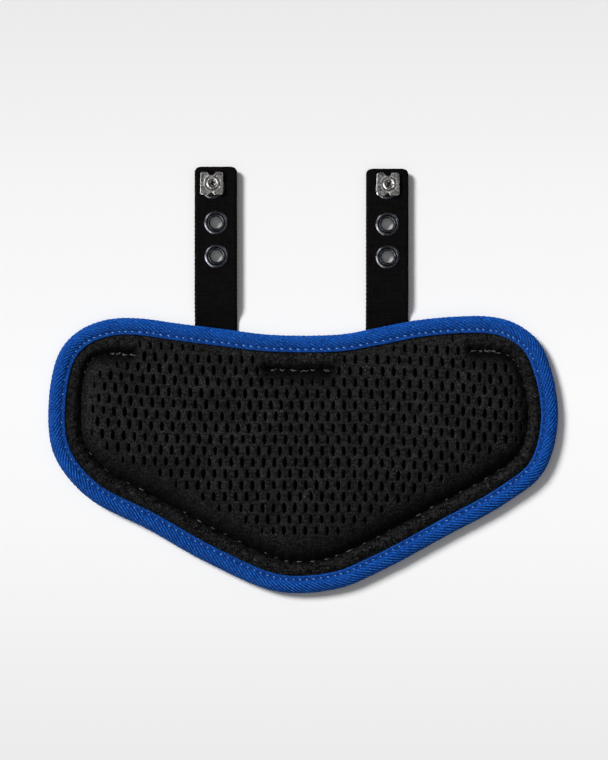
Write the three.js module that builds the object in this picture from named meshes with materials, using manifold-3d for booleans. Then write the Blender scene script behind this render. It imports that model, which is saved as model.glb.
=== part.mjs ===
// A padded football back plate lying on its back cover, with the mesh face up.
// Millimetres, +Z up, the straps towards +Y. The origin is on the surface that the plate lies on,
// under the middle of the whole object.
import * as THREE from "three";
import { mergeVertices } from "three/addons/utils/BufferGeometryUtils.js";
import Module from "manifold-3d";

const wasm = await Module();
wasm.setup();

// Clearance between pieces that touch
const GAP = 0.3;

// The plate
const PLATE_WIDTH = 305.6;
const PLATE_HEIGHT = 166.8;
const RIM_POINTS = 96;
const BINDING_WIDTH = 10.2;
const BINDING_CLOTH = 1.2;
const BINDING_PUFF = 0.9;
const RIM_OF_FACE = 1.2;
const RIM_OF_BODY = 1.2;
const FACE_CLOTH = 3;
const PAD_RISE = 8.6;
const BORDER_ROLL = 2.7;
const SEAM_INSET = 20.2;
const SEAM_SHIFT = 2.4;
const PAD_SLOPE = 12;
const LOOSE_RAMP = 7;

// The webbing straps
const STRAP_WIDTH = 25.4;
const STRAP_THICKNESS = 1.9;
const STRAP_FREE = 95.8;
const STRAP_TUCK = 57;
const STRAP_CORNER = 3.4;
const STRAP_BEND_MARGIN = 3;
const STRAP_BEND_LENGTH = 13;
const STRAP_BEND_STEPS = 8;

// The eyelets
const EYELET_HOLE = 7.6;
const EYELET_WIDTH = 14.6;
const EYELET_BARREL_WALL = 0.7;
const EYELET_ROLL = 1.1;
const EYELET_FLANGE = 0.5;
const EYELET_TO_END = 12.4;
const EYELET_PITCH = 20.3;
const ROUND_SIDES = 14;

// The nut plate and its screw
const NUT_PLATE_WIDTH = 13.7;
const NUT_PLATE_HEIGHT = 13.7;
const NUT_PLATE_THICKNESS = 1.1;
const NUT_PLATE_CORNER = 1.5;
const NUT_PLATE_RISE = -0.1;
const NUT_PLATE_SIDE = 0.6;
const TOP_NOTCH_WIDTH = 4.8;
const TOP_NOTCH_DEPTH = 2;
const LOW_NOTCH_WIDTH = 2.8;
const SCREW_SHANK = 3;
const SCREW_HEAD = 7.6;
const SCREW_HEAD_HEIGHT = 1;
const SCREW_RECESS = 4.8;
const SCREW_RECESS_DEPTH = 0.7;
const SCREW_FOOT = 9;
const SCREW_FOOT_THICKNESS = 2.4;

// Heights that follow from the sizes above
const EDGE_BASE = STRAP_THICKNESS + GAP;
const LIP_HEIGHT = 2 * BINDING_CLOTH + RIM_OF_FACE + RIM_OF_BODY + 3 * GAP;
const RIM_TOP = EDGE_BASE + LIP_HEIGHT - BINDING_CLOTH - GAP;
const RIM_INSET = 2 * BINDING_CLOTH + 2 * GAP;
const SCREW_PLAY = EYELET_HOLE / 2 - SCREW_SHANK / 2 - GAP;
const STRAP_LIFT = SCREW_FOOT_THICKNESS + GAP + EYELET_ROLL;
const STRAP_TOP = STRAP_LIFT + STRAP_THICKNESS;
const NUT_PLATE_BASE = STRAP_TOP + EYELET_ROLL + GAP;
const NUT_PLATE_TOP = NUT_PLATE_BASE + NUT_PLATE_THICKNESS;

// The outline, counter-clockwise from the right end, as shares of the plate's width and height
const OUTLINE = [
  { across: 0.5, up: 0.142 },
  { across: 0.47, up: 0.383 },
  { across: 0.43, up: 0.457 },
  { across: 0.376, up: 0.493 },
  { across: 0.239, up: 0.486 },
  { across: 0.136, up: 0.451 },
  { across: 0.072, up: 0.431 },
  { across: -0.065, up: 0.43 },
  { across: -0.146, up: 0.448 },
  { across: -0.235, up: 0.468 },
  { across: -0.331, up: 0.49 },
  { across: -0.388, up: 0.483 },
  { across: -0.442, up: 0.442 },
  { across: -0.48, up: 0.36 },
  { across: -0.5, up: 0.154 },
  { across: -0.487, up: -0.008 },
  { across: -0.423, up: -0.153 },
  { across: -0.305, up: -0.268 },
  { across: -0.19, up: -0.386 },
  { across: -0.05, up: -0.492 },
  { across: 0.067, up: -0.482 },
  { across: 0.146, up: -0.424 },
  { across: 0.285, up: -0.288 },
  { across: 0.397, up: -0.175 },
  { across: 0.472, up: -0.061 },
];

// The binding's outer side, from its stitched lip over the crown to the back: inset from the outline as
// a share of the binding's width, height as shares of the lip's height and of the puff
const BINDING_ROWS = [
  { inset: 1, lip: 1, puff: 0 },
  { inset: 0.86, lip: 1, puff: 0.15 },
  { inset: 0.8, lip: 1, puff: -0.3 },
  { inset: 0.62, lip: 1, puff: 0.75 },
  { inset: 0.38, lip: 1, puff: 1 },
  { inset: 0.14, lip: 0.93, puff: 0.5 },
  { inset: 0, lip: 0.52, puff: 0 },
  { inset: 0.07, lip: 0.18, puff: 0 },
  { inset: 0.24, lip: 0, puff: 0 },
  { inset: 1, lip: 0, puff: 0 },
];

// The mesh face from its middle out to the rim. A row lies at a share of its band: crown runs from the
// slope's head to the spine, slope from the seam to its head, border from the seam out to the binding.
// Its height is a share of the pad's rise and of the border roll, or where the seam is left unstitched
// the share under loose. The wall is a share of the face cloth.
const FACE_ROWS = [
  { band: "crown", along: 0.7, pad: 1, roll: 0, loose: 1, wall: 1, under: true },
  { band: "crown", along: 0.35, pad: 0.96, roll: 0, loose: 0.97, wall: 1, under: false },
  { band: "slope", along: 1, pad: 0.86, roll: 0, loose: 0.9, wall: 1, under: true },
  { band: "slope", along: 0.5, pad: 0.58, roll: 0, loose: 0.78, wall: 0.9, under: true },
  { band: "slope", along: 0.2, pad: 0.22, roll: 0, loose: 0.67, wall: 0.6, under: false },
  { band: "slope", along: 0, pad: 0, roll: 0, loose: 0.58, wall: 0.45, under: true },
  { band: "border", along: 0.22, pad: 0, roll: 0.6, loose: 0.48, wall: 0.6, under: false },
  { band: "border", along: 0.5, pad: 0, roll: 1, loose: 0.34, wall: 0.8, under: true },
  { band: "border", along: 0.8, pad: 0, roll: 0.62, loose: 0.16, wall: 0.6, under: false },
];

// The back cover from the rim to where it lies flat, in the same bands, as shares of the rim's height
const BACK_ROWS = [
  { band: "border", along: 0.92, height: 1 },
  { band: "border", along: 0.5, height: 0.3 },
  { band: "slope", along: 0, height: 0 },
];

// The stretches of the top seam that are left unstitched, as shares of the plate's width
const LOOSE_STRETCHES = [
  { from: -0.32, to: -0.075 },
  { from: 0.062, to: 0.32 },
];

// The line that the pad's crown runs along, as shares of the plate's width and height
const SPINE = { reach: 0.3, lean: 0.72, middle: -0.036, rise: 0.15 };

// Each strap's place as a share of the plate's width, how far its end is past the common reach, where its
// screw stands in the eyelet next to the end as shares of the play, and how far each eyelet, from that one
// on, is off the strap's middle line and off its even place along it
const STRAPS = [
  {
    side: "left",
    across: -0.1715,
    end: 0.6,
    screw: { across: 0, up: 1 },
    eyelets: [
      { across: -1.8, up: 0.9 },
      { across: 0.2, up: -0.2 },
      { across: 0.5, up: 0 },
    ],
  },
  {
    side: "right",
    across: 0.165,
    end: -0.6,
    screw: { across: 0.4, up: 0.91 },
    eyelets: [
      { across: 0.2, up: 0.6 },
      { across: 0.2, up: -1.1 },
      { across: 0.3, up: -0.5 },
    ],
  },
];

const clamp = THREE.MathUtils.clamp;
const lerp = THREE.MathUtils.lerp;

// Puts triangles given as points and indices into a geometry.
function geometryOf(positions, indices) {
  const geometry = new THREE.BufferGeometry();
  geometry.setAttribute("position", new THREE.Float32BufferAttribute(positions, 3));
  geometry.setIndex(indices);
  geometry.computeVertexNormals();
  return geometry;
}

// Joins rings of equal length into bands, each quad split along its shorter diagonal, so that two
// skins one above the other split alike. An open stack is closed by a cap on its first and last ring.
function skinOf(rings, closed) {
  const count = rings[0].length;
  const points = rings.flat();
  const positions = points.flatMap((p) => [p.x, p.y, p.z]);
  const indices = [];
  const bands = closed ? rings.length : rings.length - 1;
  for (let r = 0; r < bands; r++) {
    const near = r * count;
    const far = ((r + 1) % rings.length) * count;
    for (let i = 0; i < count; i++) {
      const next = (i + 1) % count;
      const down = points[near + i].distanceTo(points[far + next]);
      const up = points[near + next].distanceTo(points[far + i]);
      if (down < up) {
        indices.push(near + i, far + i, far + next);
        indices.push(near + i, far + next, near + next);
      } else {
        indices.push(near + i, far + i, near + next);
        indices.push(near + next, far + i, far + next);
      }
    }
  }
  if (!closed) {
    const last = (rings.length - 1) * count;
    for (const [a, b, c] of capOf(rings[0])) indices.push(a, b, c);
    for (const [a, b, c] of capOf(rings[rings.length - 1])) indices.push(last + a, last + c, last + b);
  }
  return geometryOf(positions, indices);
}

// The triangles that fill a ring seen from above.
function capOf(ring) {
  const contour = ring.map((p) => new THREE.Vector2(p.x, p.y));
  return THREE.ShapeUtils.triangulateShape(contour, []);
}

// A geometry as a manifold solid, and back.
function solidOf(geometry) {
  const bare = geometry.clone();
  bare.deleteAttribute("normal");
  bare.deleteAttribute("uv");
  const merged = mergeVertices(bare, 1e-4);
  const mesh = new wasm.Mesh({
    numProp: 3,
    vertProperties: merged.attributes.position.array,
    triVerts: new Uint32Array(merged.index.array),
  });
  return new wasm.Manifold(mesh);
}

function geometryOfSolid(solid) {
  const mesh = solid.getMesh();
  return geometryOf(Array.from(mesh.vertProperties), Array.from(mesh.triVerts));
}

// The plate's outline with the inward normal, the seam's inset and the spine's target at each point.
function rimStations() {
  const knots = OUTLINE.map((s) => new THREE.Vector3(s.across * PLATE_WIDTH, s.up * PLATE_HEIGHT, 0));
  const curve = new THREE.CatmullRomCurve3(knots, true, "centripetal");
  curve.arcLengthDivisions = 1200;
  const points = curve.getSpacedPoints(RIM_POINTS).slice(0, -1);
  return points.map((point, i) => {
    const before = points[(i + points.length - 1) % points.length];
    const after = points[(i + 1) % points.length];
    const along = after.clone().sub(before).normalize();
    const inward = new THREE.Vector3(-along.y, along.x, 0);
    const seamInset = SEAM_INSET + SEAM_SHIFT * inward.x;
    const seam = point.clone().addScaledVector(inward, seamInset);
    return { point, inward, seamInset, seam, spine: spineTarget(point), looseness: loosenessAt(point, inward) };
  });
}

function spineTarget(point) {
  const reach = SPINE.reach * PLATE_WIDTH;
  const x = clamp(point.x * SPINE.lean, -reach, reach);
  const bow = Math.pow(Math.abs(x) / reach, 1.5);
  return new THREE.Vector3(x, (SPINE.middle + SPINE.rise * bow) * PLATE_HEIGHT, 0);
}

// 1 where the top seam is left unstitched, 0 where it is sewn down, with a soft ramp between.
function loosenessAt(point, inward) {
  if (inward.y > -0.5) return 0;
  const shares = LOOSE_STRETCHES.map(({ from, to }) => {
    const rising = (point.x - from * PLATE_WIDTH) / LOOSE_RAMP;
    const falling = (to * PLATE_WIDTH - point.x) / LOOSE_RAMP;
    return THREE.MathUtils.smoothstep(Math.min(rising, falling), -0.5, 0.5);
  });
  return Math.max(...shares);
}

// The place of a row at one station, at a height.
function placeInBand(station, band, along, z) {
  const toSpine = station.spine.clone().sub(station.seam);
  const length = toSpine.length();
  let place;
  if (band === "border") {
    const inset = lerp(station.seamInset, BINDING_WIDTH, along);
    place = station.point.clone().addScaledVector(station.inward, inset);
  } else if (band === "slope") {
    place = station.seam.clone().addScaledVector(toSpine, (along * PAD_SLOPE) / length);
  } else {
    const share = lerp(PAD_SLOPE / length, 1, along);
    place = station.seam.clone().addScaledVector(toSpine, share);
  }
  return place.setZ(z);
}

function insetRing(stations, inset, z) {
  return stations.map((s) => s.point.clone().addScaledVector(s.inward, inset).setZ(z));
}

function faceHeight(station, row) {
  const sewn = row.pad * PAD_RISE + row.roll * BORDER_ROLL;
  return RIM_TOP + lerp(sewn, row.loose * PAD_RISE, station.looseness);
}

// The spacer mesh cloth: its top rows, the rim that the binding holds, and its underside.
function meshFace(stations) {
  const rimBottom = RIM_TOP - RIM_OF_FACE;
  const top = FACE_ROWS.map((row) =>
    stations.map((s) => placeInBand(s, row.band, row.along, faceHeight(s, row))),
  );
  const rim = [
    insetRing(stations, BINDING_WIDTH, RIM_TOP),
    insetRing(stations, RIM_INSET, RIM_TOP),
    insetRing(stations, RIM_INSET, rimBottom),
    insetRing(stations, BINDING_WIDTH, rimBottom),
  ];
  return skinOf([...top, ...rim, ...undersideRings(stations, 0).reverse()], false);
}

// The underside of the mesh cloth, lowered by a clearance, from the middle out to the border.
function undersideRings(stations, clearance) {
  const rows = FACE_ROWS.filter((row) => row.under);
  return rows.map((row) =>
    stations.map((s) => {
      const z = faceHeight(s, row) - row.wall * FACE_CLOTH - clearance;
      return placeInBand(s, row.band, row.along, z);
    }),
  );
}

// The padded body: a top that fits the mesh cloth, its rim, and the back cover, cut for the straps.
function padBody(stations) {
  const rimTop = RIM_TOP - RIM_OF_FACE - GAP;
  const rimBottom = rimTop - RIM_OF_BODY;
  const rim = [
    insetRing(stations, BINDING_WIDTH, rimTop),
    insetRing(stations, RIM_INSET, rimTop),
    insetRing(stations, RIM_INSET, rimBottom),
  ];
  const back = BACK_ROWS.map((row) =>
    stations.map((s) => placeInBand(s, row.band, row.along, row.height * rimBottom)),
  );
  let body = solidOf(skinOf([...undersideRings(stations, GAP), ...rim, ...back], false));
  for (const strap of STRAPS) body = body.subtract(solidOf(strapPocket(strap)));
  return geometryOfSolid(body);
}

// The binding as one ring of folded cloth round the rims of the face and the body.
function edgeBinding(stations) {
  const outer = BINDING_ROWS.map((row) =>
    insetRing(
      stations,
      row.inset * BINDING_WIDTH,
      EDGE_BASE + row.lip * LIP_HEIGHT + row.puff * BINDING_PUFF,
    ),
  );
  const foldInset = RIM_INSET - GAP;
  const inner = [
    insetRing(stations, BINDING_WIDTH, EDGE_BASE + BINDING_CLOTH),
    insetRing(stations, foldInset, EDGE_BASE + BINDING_CLOTH),
    insetRing(stations, BINDING_CLOTH, EDGE_BASE + LIP_HEIGHT / 2),
    insetRing(stations, foldInset, EDGE_BASE + LIP_HEIGHT - BINDING_CLOTH),
    insetRing(stations, BINDING_WIDTH, EDGE_BASE + LIP_HEIGHT - BINDING_CLOTH),
  ];
  return skinOf([...outer, ...inner], true);
}

// Where a strap runs: its middle, its free end, the plate's edge above it and its sewn end.
function strapLine(strap) {
  const x = strap.across * PLATE_WIDTH;
  const edge = outlineHeightAt(x);
  return { x, end: commonReach() + strap.end, edge, tail: edge - STRAP_TUCK };
}

// The height that the straps reach to, their free length past the plate's edge between them.
function commonReach() {
  const edges = STRAPS.map((strap) => outlineHeightAt(strap.across * PLATE_WIDTH));
  return STRAP_FREE + (edges[0] + edges[1]) / 2;
}

// The height of the plate's top edge at a place across it.
function outlineHeightAt(x) {
  const upper = OUTLINE.filter((s) => s.up > 0.4);
  for (let i = 1; i < upper.length; i++) {
    const right = upper[i - 1];
    const left = upper[i];
    const share = (right.across * PLATE_WIDTH - x) / ((right.across - left.across) * PLATE_WIDTH);
    if (share >= 0 && share <= 1) return lerp(right.up, left.up, share) * PLATE_HEIGHT;
  }
  return upper[0].up * PLATE_HEIGHT;
}

// The room that a strap takes under the pad, with its clearance.
function strapPocket(strap) {
  const { x, tail, end } = strapLine(strap);
  const below = GAP + STRAP_THICKNESS;
  const height = STRAP_THICKNESS + GAP + below;
  const pocket = new THREE.BoxGeometry(STRAP_WIDTH + 2 * GAP, end - tail + 2 * GAP, height);
  pocket.translate(x, (end + tail) / 2, height / 2 - below);
  return pocket;
}

// A strap: its side profile drawn across the webbing, trimmed to round end corners and punched.
function webbingStrap(strap) {
  const { x, end, edge, tail } = strapLine(strap);
  const bendStart = edge + STRAP_BEND_MARGIN;
  const bendEnd = bendStart + STRAP_BEND_LENGTH;
  const under = [new THREE.Vector2(tail, 0)];
  for (let i = 0; i <= STRAP_BEND_STEPS; i++) {
    const share = i / STRAP_BEND_STEPS;
    const lift = STRAP_LIFT * THREE.MathUtils.smoothstep(share, 0, 1);
    under.push(new THREE.Vector2(lerp(bendStart, bendEnd, share), lift));
  }
  under.push(new THREE.Vector2(end, STRAP_LIFT));
  const over = under.map((p) => new THREE.Vector2(p.x, p.y + STRAP_THICKNESS)).reverse();
  const side = new THREE.Shape([...under, ...over]);
  const band = new THREE.ExtrudeGeometry(side, { depth: STRAP_WIDTH, bevelEnabled: false });
  band.applyMatrix4(new THREE.Matrix4().makeBasis(
    new THREE.Vector3(0, 1, 0),
    new THREE.Vector3(0, 0, 1),
    new THREE.Vector3(1, 0, 0),
  ));
  band.translate(x - STRAP_WIDTH / 2, 0, 0);
  let solid = solidOf(band).intersect(solidOf(strapTrim(x, tail, end)));
  for (let k = 0; k < strap.eyelets.length; k++) {
    solid = solid.subtract(solidOf(eyeletPunch(eyeletPlace(strap, k))));
  }
  return geometryOfSolid(solid);
}

// A tall plan of the strap with round corners at its free end.
function strapTrim(x, tail, end) {
  const half = STRAP_WIDTH / 2;
  const plan = new THREE.Shape();
  plan.moveTo(x - half, tail);
  plan.lineTo(x + half, tail);
  plan.absarc(x + half - STRAP_CORNER, end - STRAP_CORNER, STRAP_CORNER, 0, Math.PI / 2, false);
  plan.absarc(x - half + STRAP_CORNER, end - STRAP_CORNER, STRAP_CORNER, Math.PI / 2, Math.PI, false);
  const trim = new THREE.ExtrudeGeometry(plan, {
    depth: 4 * STRAP_TOP,
    bevelEnabled: false,
    curveSegments: 5,
  });
  trim.translate(0, 0, -STRAP_TOP);
  return trim;
}

// The middle of an eyelet, counted from the strap's free end.
function eyeletPlace(strap, k) {
  const { across, up } = strap.eyelets[k];
  const x = strap.across * PLATE_WIDTH + across;
  return { x, y: commonReach() - EYELET_TO_END - k * EYELET_PITCH + up };
}

// The hole that an eyelet's barrel goes through.
function eyeletPunch({ x, y }) {
  const radius = EYELET_HOLE / 2 + EYELET_BARREL_WALL + GAP;
  const punch = new THREE.CylinderGeometry(radius, radius, 4 * STRAP_TOP, ROUND_SIDES);
  punch.rotateX(Math.PI / 2);
  punch.translate(x, y, 0);
  return punch;
}

// An eyelet: a barrel with a rolled rim over a thin flange, alike on both faces of the webbing.
function eyelet() {
  const hole = EYELET_HOLE / 2;
  const barrel = hole + EYELET_BARREL_WALL;
  const rim = EYELET_WIDTH / 2;
  const step = lerp(hole, rim, 0.55);
  const seat = STRAP_THICKNESS / 2 + GAP / 2;
  const half = STRAP_THICKNESS / 2 + EYELET_ROLL;
  const flange = STRAP_THICKNESS / 2 + EYELET_FLANGE;
  const upper = [
    new THREE.Vector2(barrel, seat),
    new THREE.Vector2(rim, seat),
    new THREE.Vector2(rim - EYELET_FLANGE / 2, flange),
    new THREE.Vector2(step, flange),
    new THREE.Vector2(lerp(hole, step, 0.5), half),
    new THREE.Vector2(hole, half - EYELET_ROLL / 2),
  ];
  const lower = upper.map((p) => new THREE.Vector2(p.x, -p.y)).reverse();
  const profile = [...upper, ...lower, upper[0]];
  const ring = new THREE.LatheGeometry(profile, ROUND_SIDES);
  ring.rotateX(Math.PI / 2);
  return ring;
}

// The square nut plate: a notch in its top edge, a small round bite in its lower edge, a screw hole.
function nutPlate() {
  const w = NUT_PLATE_WIDTH / 2;
  const h = NUT_PLATE_HEIGHT / 2;
  const c = NUT_PLATE_CORNER;
  const plan = new THREE.Shape();
  plan.moveTo(-w, -h + c);
  plan.absarc(-w + c, -h + c, c, Math.PI, 1.5 * Math.PI, false);
  plan.absarc(0, -h, LOW_NOTCH_WIDTH / 2, Math.PI, 0, true);
  plan.absarc(w - c, -h + c, c, 1.5 * Math.PI, 2 * Math.PI, false);
  plan.absarc(w - c, h - c, c, 0, Math.PI / 2, false);
  plan.lineTo(TOP_NOTCH_WIDTH / 2, h);
  plan.quadraticCurveTo(0, h - 2 * TOP_NOTCH_DEPTH, -TOP_NOTCH_WIDTH / 2, h);
  plan.absarc(-w + c, h - c, c, Math.PI / 2, Math.PI, false);
  const hole = new THREE.Path();
  hole.absarc(NUT_PLATE_SIDE, -NUT_PLATE_RISE, SCREW_SHANK / 2 + GAP, 0, 2 * Math.PI, true);
  plan.holes.push(hole);
  return new THREE.ExtrudeGeometry(plan, {
    depth: NUT_PLATE_THICKNESS,
    bevelEnabled: false,
    curveSegments: 4,
  });
}

// The screw: a low head with a round recess above the nut plate, a shank and a plain foot.
function screw() {
  const shank = SCREW_SHANK / 2;
  const head = SCREW_HEAD / 2;
  const seat = NUT_PLATE_TOP + GAP;
  const top = seat + SCREW_HEAD_HEIGHT;
  const profile = [
    new THREE.Vector2(0, 0),
    new THREE.Vector2(SCREW_FOOT / 2, 0),
    new THREE.Vector2(SCREW_FOOT / 2, SCREW_FOOT_THICKNESS),
    new THREE.Vector2(shank, SCREW_FOOT_THICKNESS),
    new THREE.Vector2(shank, seat),
    new THREE.Vector2(head, seat),
    new THREE.Vector2(head - SCREW_HEAD_HEIGHT / 2, top),
    new THREE.Vector2(SCREW_RECESS / 2, top),
    new THREE.Vector2(SCREW_RECESS / 4, top - SCREW_RECESS_DEPTH),
    new THREE.Vector2(0, top - SCREW_RECESS_DEPTH),
  ];
  const turned = new THREE.LatheGeometry(profile, ROUND_SIDES);
  turned.rotateX(Math.PI / 2);
  return turned;
}

function finish(color, roughness, metalness) {
  return new THREE.MeshStandardMaterial({ color, roughness, metalness, flatShading: true });
}

function piece(name, geometry, material) {
  const mesh = new THREE.Mesh(geometry, material);
  mesh.name = name;
  return mesh;
}

const FINISHES = {
  mesh: () => finish(0x1c1c1d, 0.9, 0),
  cover: () => finish(0x161617, 0.95, 0),
  binding: () => finish(0x0f3e8c, 0.75, 0),
  webbing: () => finish(0x131314, 0.8, 0),
  gunmetal: () => finish(0x3a3c40, 0.35, 0.9),
  nickel: () => finish(0xb8b2aa, 0.3, 1),
};

const plate = new THREE.Group();
const stations = rimStations();
plate.add(piece("mesh_face", meshFace(stations), FINISHES.mesh()));
plate.add(piece("pad_body", padBody(stations), FINISHES.cover()));
plate.add(piece("edge_binding", edgeBinding(stations), FINISHES.binding()));

for (const strap of STRAPS) {
  plate.add(piece(`strap_${strap.side}`, webbingStrap(strap), FINISHES.webbing()));
  for (let k = 0; k < strap.eyelets.length; k++) {
    const ring = piece(`eyelet_${strap.side}_${k + 1}`, eyelet(), FINISHES.gunmetal());
    const { x, y } = eyeletPlace(strap, k);
    ring.position.set(x, y, STRAP_LIFT + STRAP_THICKNESS / 2);
    plate.add(ring);
  }
  const last = eyeletPlace(strap, 0);
  const screwX = last.x + strap.screw.across * SCREW_PLAY;
  const screwY = last.y + strap.screw.up * SCREW_PLAY;
  const nut = piece(`nut_plate_${strap.side}`, nutPlate(), FINISHES.nickel());
  nut.position.set(screwX - NUT_PLATE_SIDE, screwY + NUT_PLATE_RISE, NUT_PLATE_BASE);
  plate.add(nut);
  const bolt = piece(`screw_${strap.side}`, screw(), FINISHES.nickel());
  bolt.position.set(screwX, screwY, 0);
  plate.add(bolt);
}

// The origin goes under the middle of the whole object.
const extent = new THREE.Box3().setFromObject(plate);
const middle = extent.getCenter(new THREE.Vector3());
plate.position.set(-middle.x, -middle.y, -extent.min.z);

export default plate;
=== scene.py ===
# %% [markdown]
# A football back plate lies on a pale table with its mesh face up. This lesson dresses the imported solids
# of the plate with cloth, webbing and metal. The solids give every place and size, so the first step
# loads them and keeps the box that they fill. Lengths below are in millimetres and become metres only
# when a mesh is made, because the cloth's details are easier to read that way.

# %% Load the frame
import math

import bpy
import numpy as np
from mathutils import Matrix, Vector
from mathutils.bvhtree import BVHTree
from mathutils.kdtree import KDTree


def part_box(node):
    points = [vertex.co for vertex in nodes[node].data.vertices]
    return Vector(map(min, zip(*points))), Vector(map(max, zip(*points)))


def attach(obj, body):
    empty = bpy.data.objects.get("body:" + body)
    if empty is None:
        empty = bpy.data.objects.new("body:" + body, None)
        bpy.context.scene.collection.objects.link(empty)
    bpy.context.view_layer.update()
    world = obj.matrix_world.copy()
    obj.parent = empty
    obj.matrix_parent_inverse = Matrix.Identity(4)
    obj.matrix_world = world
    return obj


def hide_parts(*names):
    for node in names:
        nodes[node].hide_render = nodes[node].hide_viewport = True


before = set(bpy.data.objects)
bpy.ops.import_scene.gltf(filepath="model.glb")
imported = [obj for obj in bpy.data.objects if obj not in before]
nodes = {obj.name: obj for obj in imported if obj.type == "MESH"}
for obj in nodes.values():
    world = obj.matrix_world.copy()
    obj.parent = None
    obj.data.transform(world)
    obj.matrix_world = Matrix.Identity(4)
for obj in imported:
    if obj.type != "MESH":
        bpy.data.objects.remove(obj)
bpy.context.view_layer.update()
MM = 0.001

# %% [markdown]
# The photograph looks straight down from far away, so nothing of the plate's sides shows. A long lens
# high above does the same. The whole picture is 456 mm high at the height of the plate's rim.

# %% Camera
CAMERA_HEIGHT = 1500
RIM_HEIGHT = 5.2
PICTURE_HEIGHT = 456
CAMERA_ACROSS = 0.5
CAMERA_ALONG = -0.1
SENSOR = 36


def add_object(name, data):
    thing = bpy.data.objects.new(name, data)
    bpy.context.scene.collection.objects.link(thing)
    return thing


camera_data = bpy.data.cameras.new("camera")
camera_data.sensor_width = SENSOR
camera_data.lens = SENSOR * (CAMERA_HEIGHT - RIM_HEIGHT) / PICTURE_HEIGHT
camera = add_object("camera", camera_data)
camera.location = Vector((CAMERA_ACROSS, CAMERA_ALONG, CAMERA_HEIGHT)) * MM
bpy.context.scene.camera = camera
bpy.context.scene.view_settings.view_transform = "Standard"
print("lens:", round(camera_data.lens, 1))

# %% [markdown]
# Shader networks repeat the same few moves: add a node, set its sockets, join it on. These helpers keep each
# material below short. Colours are linear. Fixed values go straight onto the shader's own sockets.


# %% Material helpers
def new_material(name, roughness, metallic=0.0, specular=0.5):
    material = bpy.data.materials.new(name)
    material.use_nodes = True
    shader = material.node_tree.nodes["Principled BSDF"]
    shader.inputs["Roughness"].default_value = roughness
    shader.inputs["Metallic"].default_value = metallic
    shader.inputs["Specular IOR Level"].default_value = specular
    return material, shader


def add_node(material, kind, **sockets):
    """A new node of a kind, with some of its input sockets set or joined."""
    tree = material.node_tree
    node = tree.nodes.new(kind)
    for name, value in sockets.items():
        socket = node.inputs[int(name[1:])] if name[0] == "_" else node.inputs[name]
        if isinstance(value, bpy.types.NodeSocket):
            tree.links.new(value, socket)
        else:
            socket.default_value = value
    return node


def attribute(material, name):
    node = material.node_tree.nodes.new("ShaderNodeAttribute")
    node.attribute_name = name
    return node.outputs["Fac"]


def object_place(material, stretch=(1, 1, 1), turn=0.0):
    """The place on the object in metres, stretched and turned about the upright."""
    coordinates = material.node_tree.nodes.new("ShaderNodeTexCoord")
    mapping = add_node(material, "ShaderNodeMapping", Vector=coordinates.outputs["Object"])
    mapping.inputs["Scale"].default_value = stretch
    mapping.inputs["Rotation"].default_value = (0, 0, turn)
    return mapping.outputs["Vector"]


def noise(material, scale, detail, stretch=(1, 1, 1), turn=0.0):
    """A cloudy value of about a half, stretched and turned about the upright."""
    place = object_place(material, stretch, turn)
    return add_node(material, "ShaderNodeTexNoise", Vector=place, Scale=scale, Detail=detail).outputs["Fac"]


def between(material, share, low, high, from_low=0.0, from_high=1.0):
    """A share as a value between low and high."""
    node = add_node(material, "ShaderNodeMapRange", Value=share)
    node.inputs["From Min"].default_value = from_low
    node.inputs["From Max"].default_value = from_high
    node.inputs["To Min"].default_value = low
    node.inputs["To Max"].default_value = high
    return node.outputs["Result"]


def arithmetic(material, operation, first, second):
    node = add_node(material, "ShaderNodeMath", _0=first, _1=second)
    node.operation = operation
    return node.outputs["Value"]


def mixed(material, share, first, second):
    """Two colours, or a colour and a colour socket, mixed by a share."""
    node = material.node_tree.nodes.new("ShaderNodeMix")
    node.data_type = "RGBA"
    sockets = [s for s in node.inputs if s.type == "RGBA"]
    factor = node.inputs["Factor"]
    material.node_tree.links.new(share, factor)
    for socket, value in zip(sockets, (first, second)):
        if isinstance(value, bpy.types.NodeSocket):
            material.node_tree.links.new(value, socket)
        else:
            socket.default_value = (*value, 1)
    return [s for s in node.outputs if s.type == "RGBA"][0]


def raise_bump(material, shader, height, depth, strength=1.0):
    """Fine relief from a height socket; depth is in millimetres."""
    bump = add_node(material, "ShaderNodeBump", Height=height, Strength=strength)
    bump.inputs["Distance"].default_value = depth * MM
    material.node_tree.links.new(bump.outputs["Normal"], shader.inputs["Normal"])


def colour(material, shader, socket):
    material.node_tree.links.new(socket, shader.inputs["Base Color"])


# %% [markdown]
# The table is one big pale plane. In the photograph it is a little darker towards the top and bottom of
# the picture, so its colour changes gently along the plate. Light comes from a broad key at the upper
# left, which throws the soft shadow to the lower right, and from a pale sky that is brightest overhead.
# A sun lamp with a wide disc makes the same soft edge everywhere on the plate. Four more lamps are seen
# only by glossy surfaces: they stand for the studio's pale panels, whose reflections are the bright
# crescents on the metal.

# %% Table and light
TABLE_SIZE = 24000
TABLE_PALE = 0.86
TABLE_REACH = 0.228
TABLE_STOPS = [(0.0, 0.865), (0.12, 0.905), (0.3, 0.975), (0.48, 1.0), (0.74, 0.955), (1.0, 0.858)]
KEY_FROM = (-0.79, 0.61)
KEY_ELEVATION = 43
KEY_WIDTH = 18
KEY_STRENGTH = 3.99
SKY_ZENITH = 0.66
SKY_GATHER = 3.6
SKY_RIM = 0.03
GLINTS = {
    "left_panel": {"side": (-0.96, -0.28), "elevation": 36, "width": 32, "strength": 3.0},
    "low_left_panel": {"side": (-0.62, -0.78), "elevation": 36, "width": 26, "strength": 1.4},
    "right_panel": {"side": (0.75, 0.66), "elevation": 42, "width": 20, "strength": 0.15},
    "key_glint": {"side": (-0.79, 0.61), "elevation": 45, "width": 22, "strength": 0.8},
}


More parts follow.
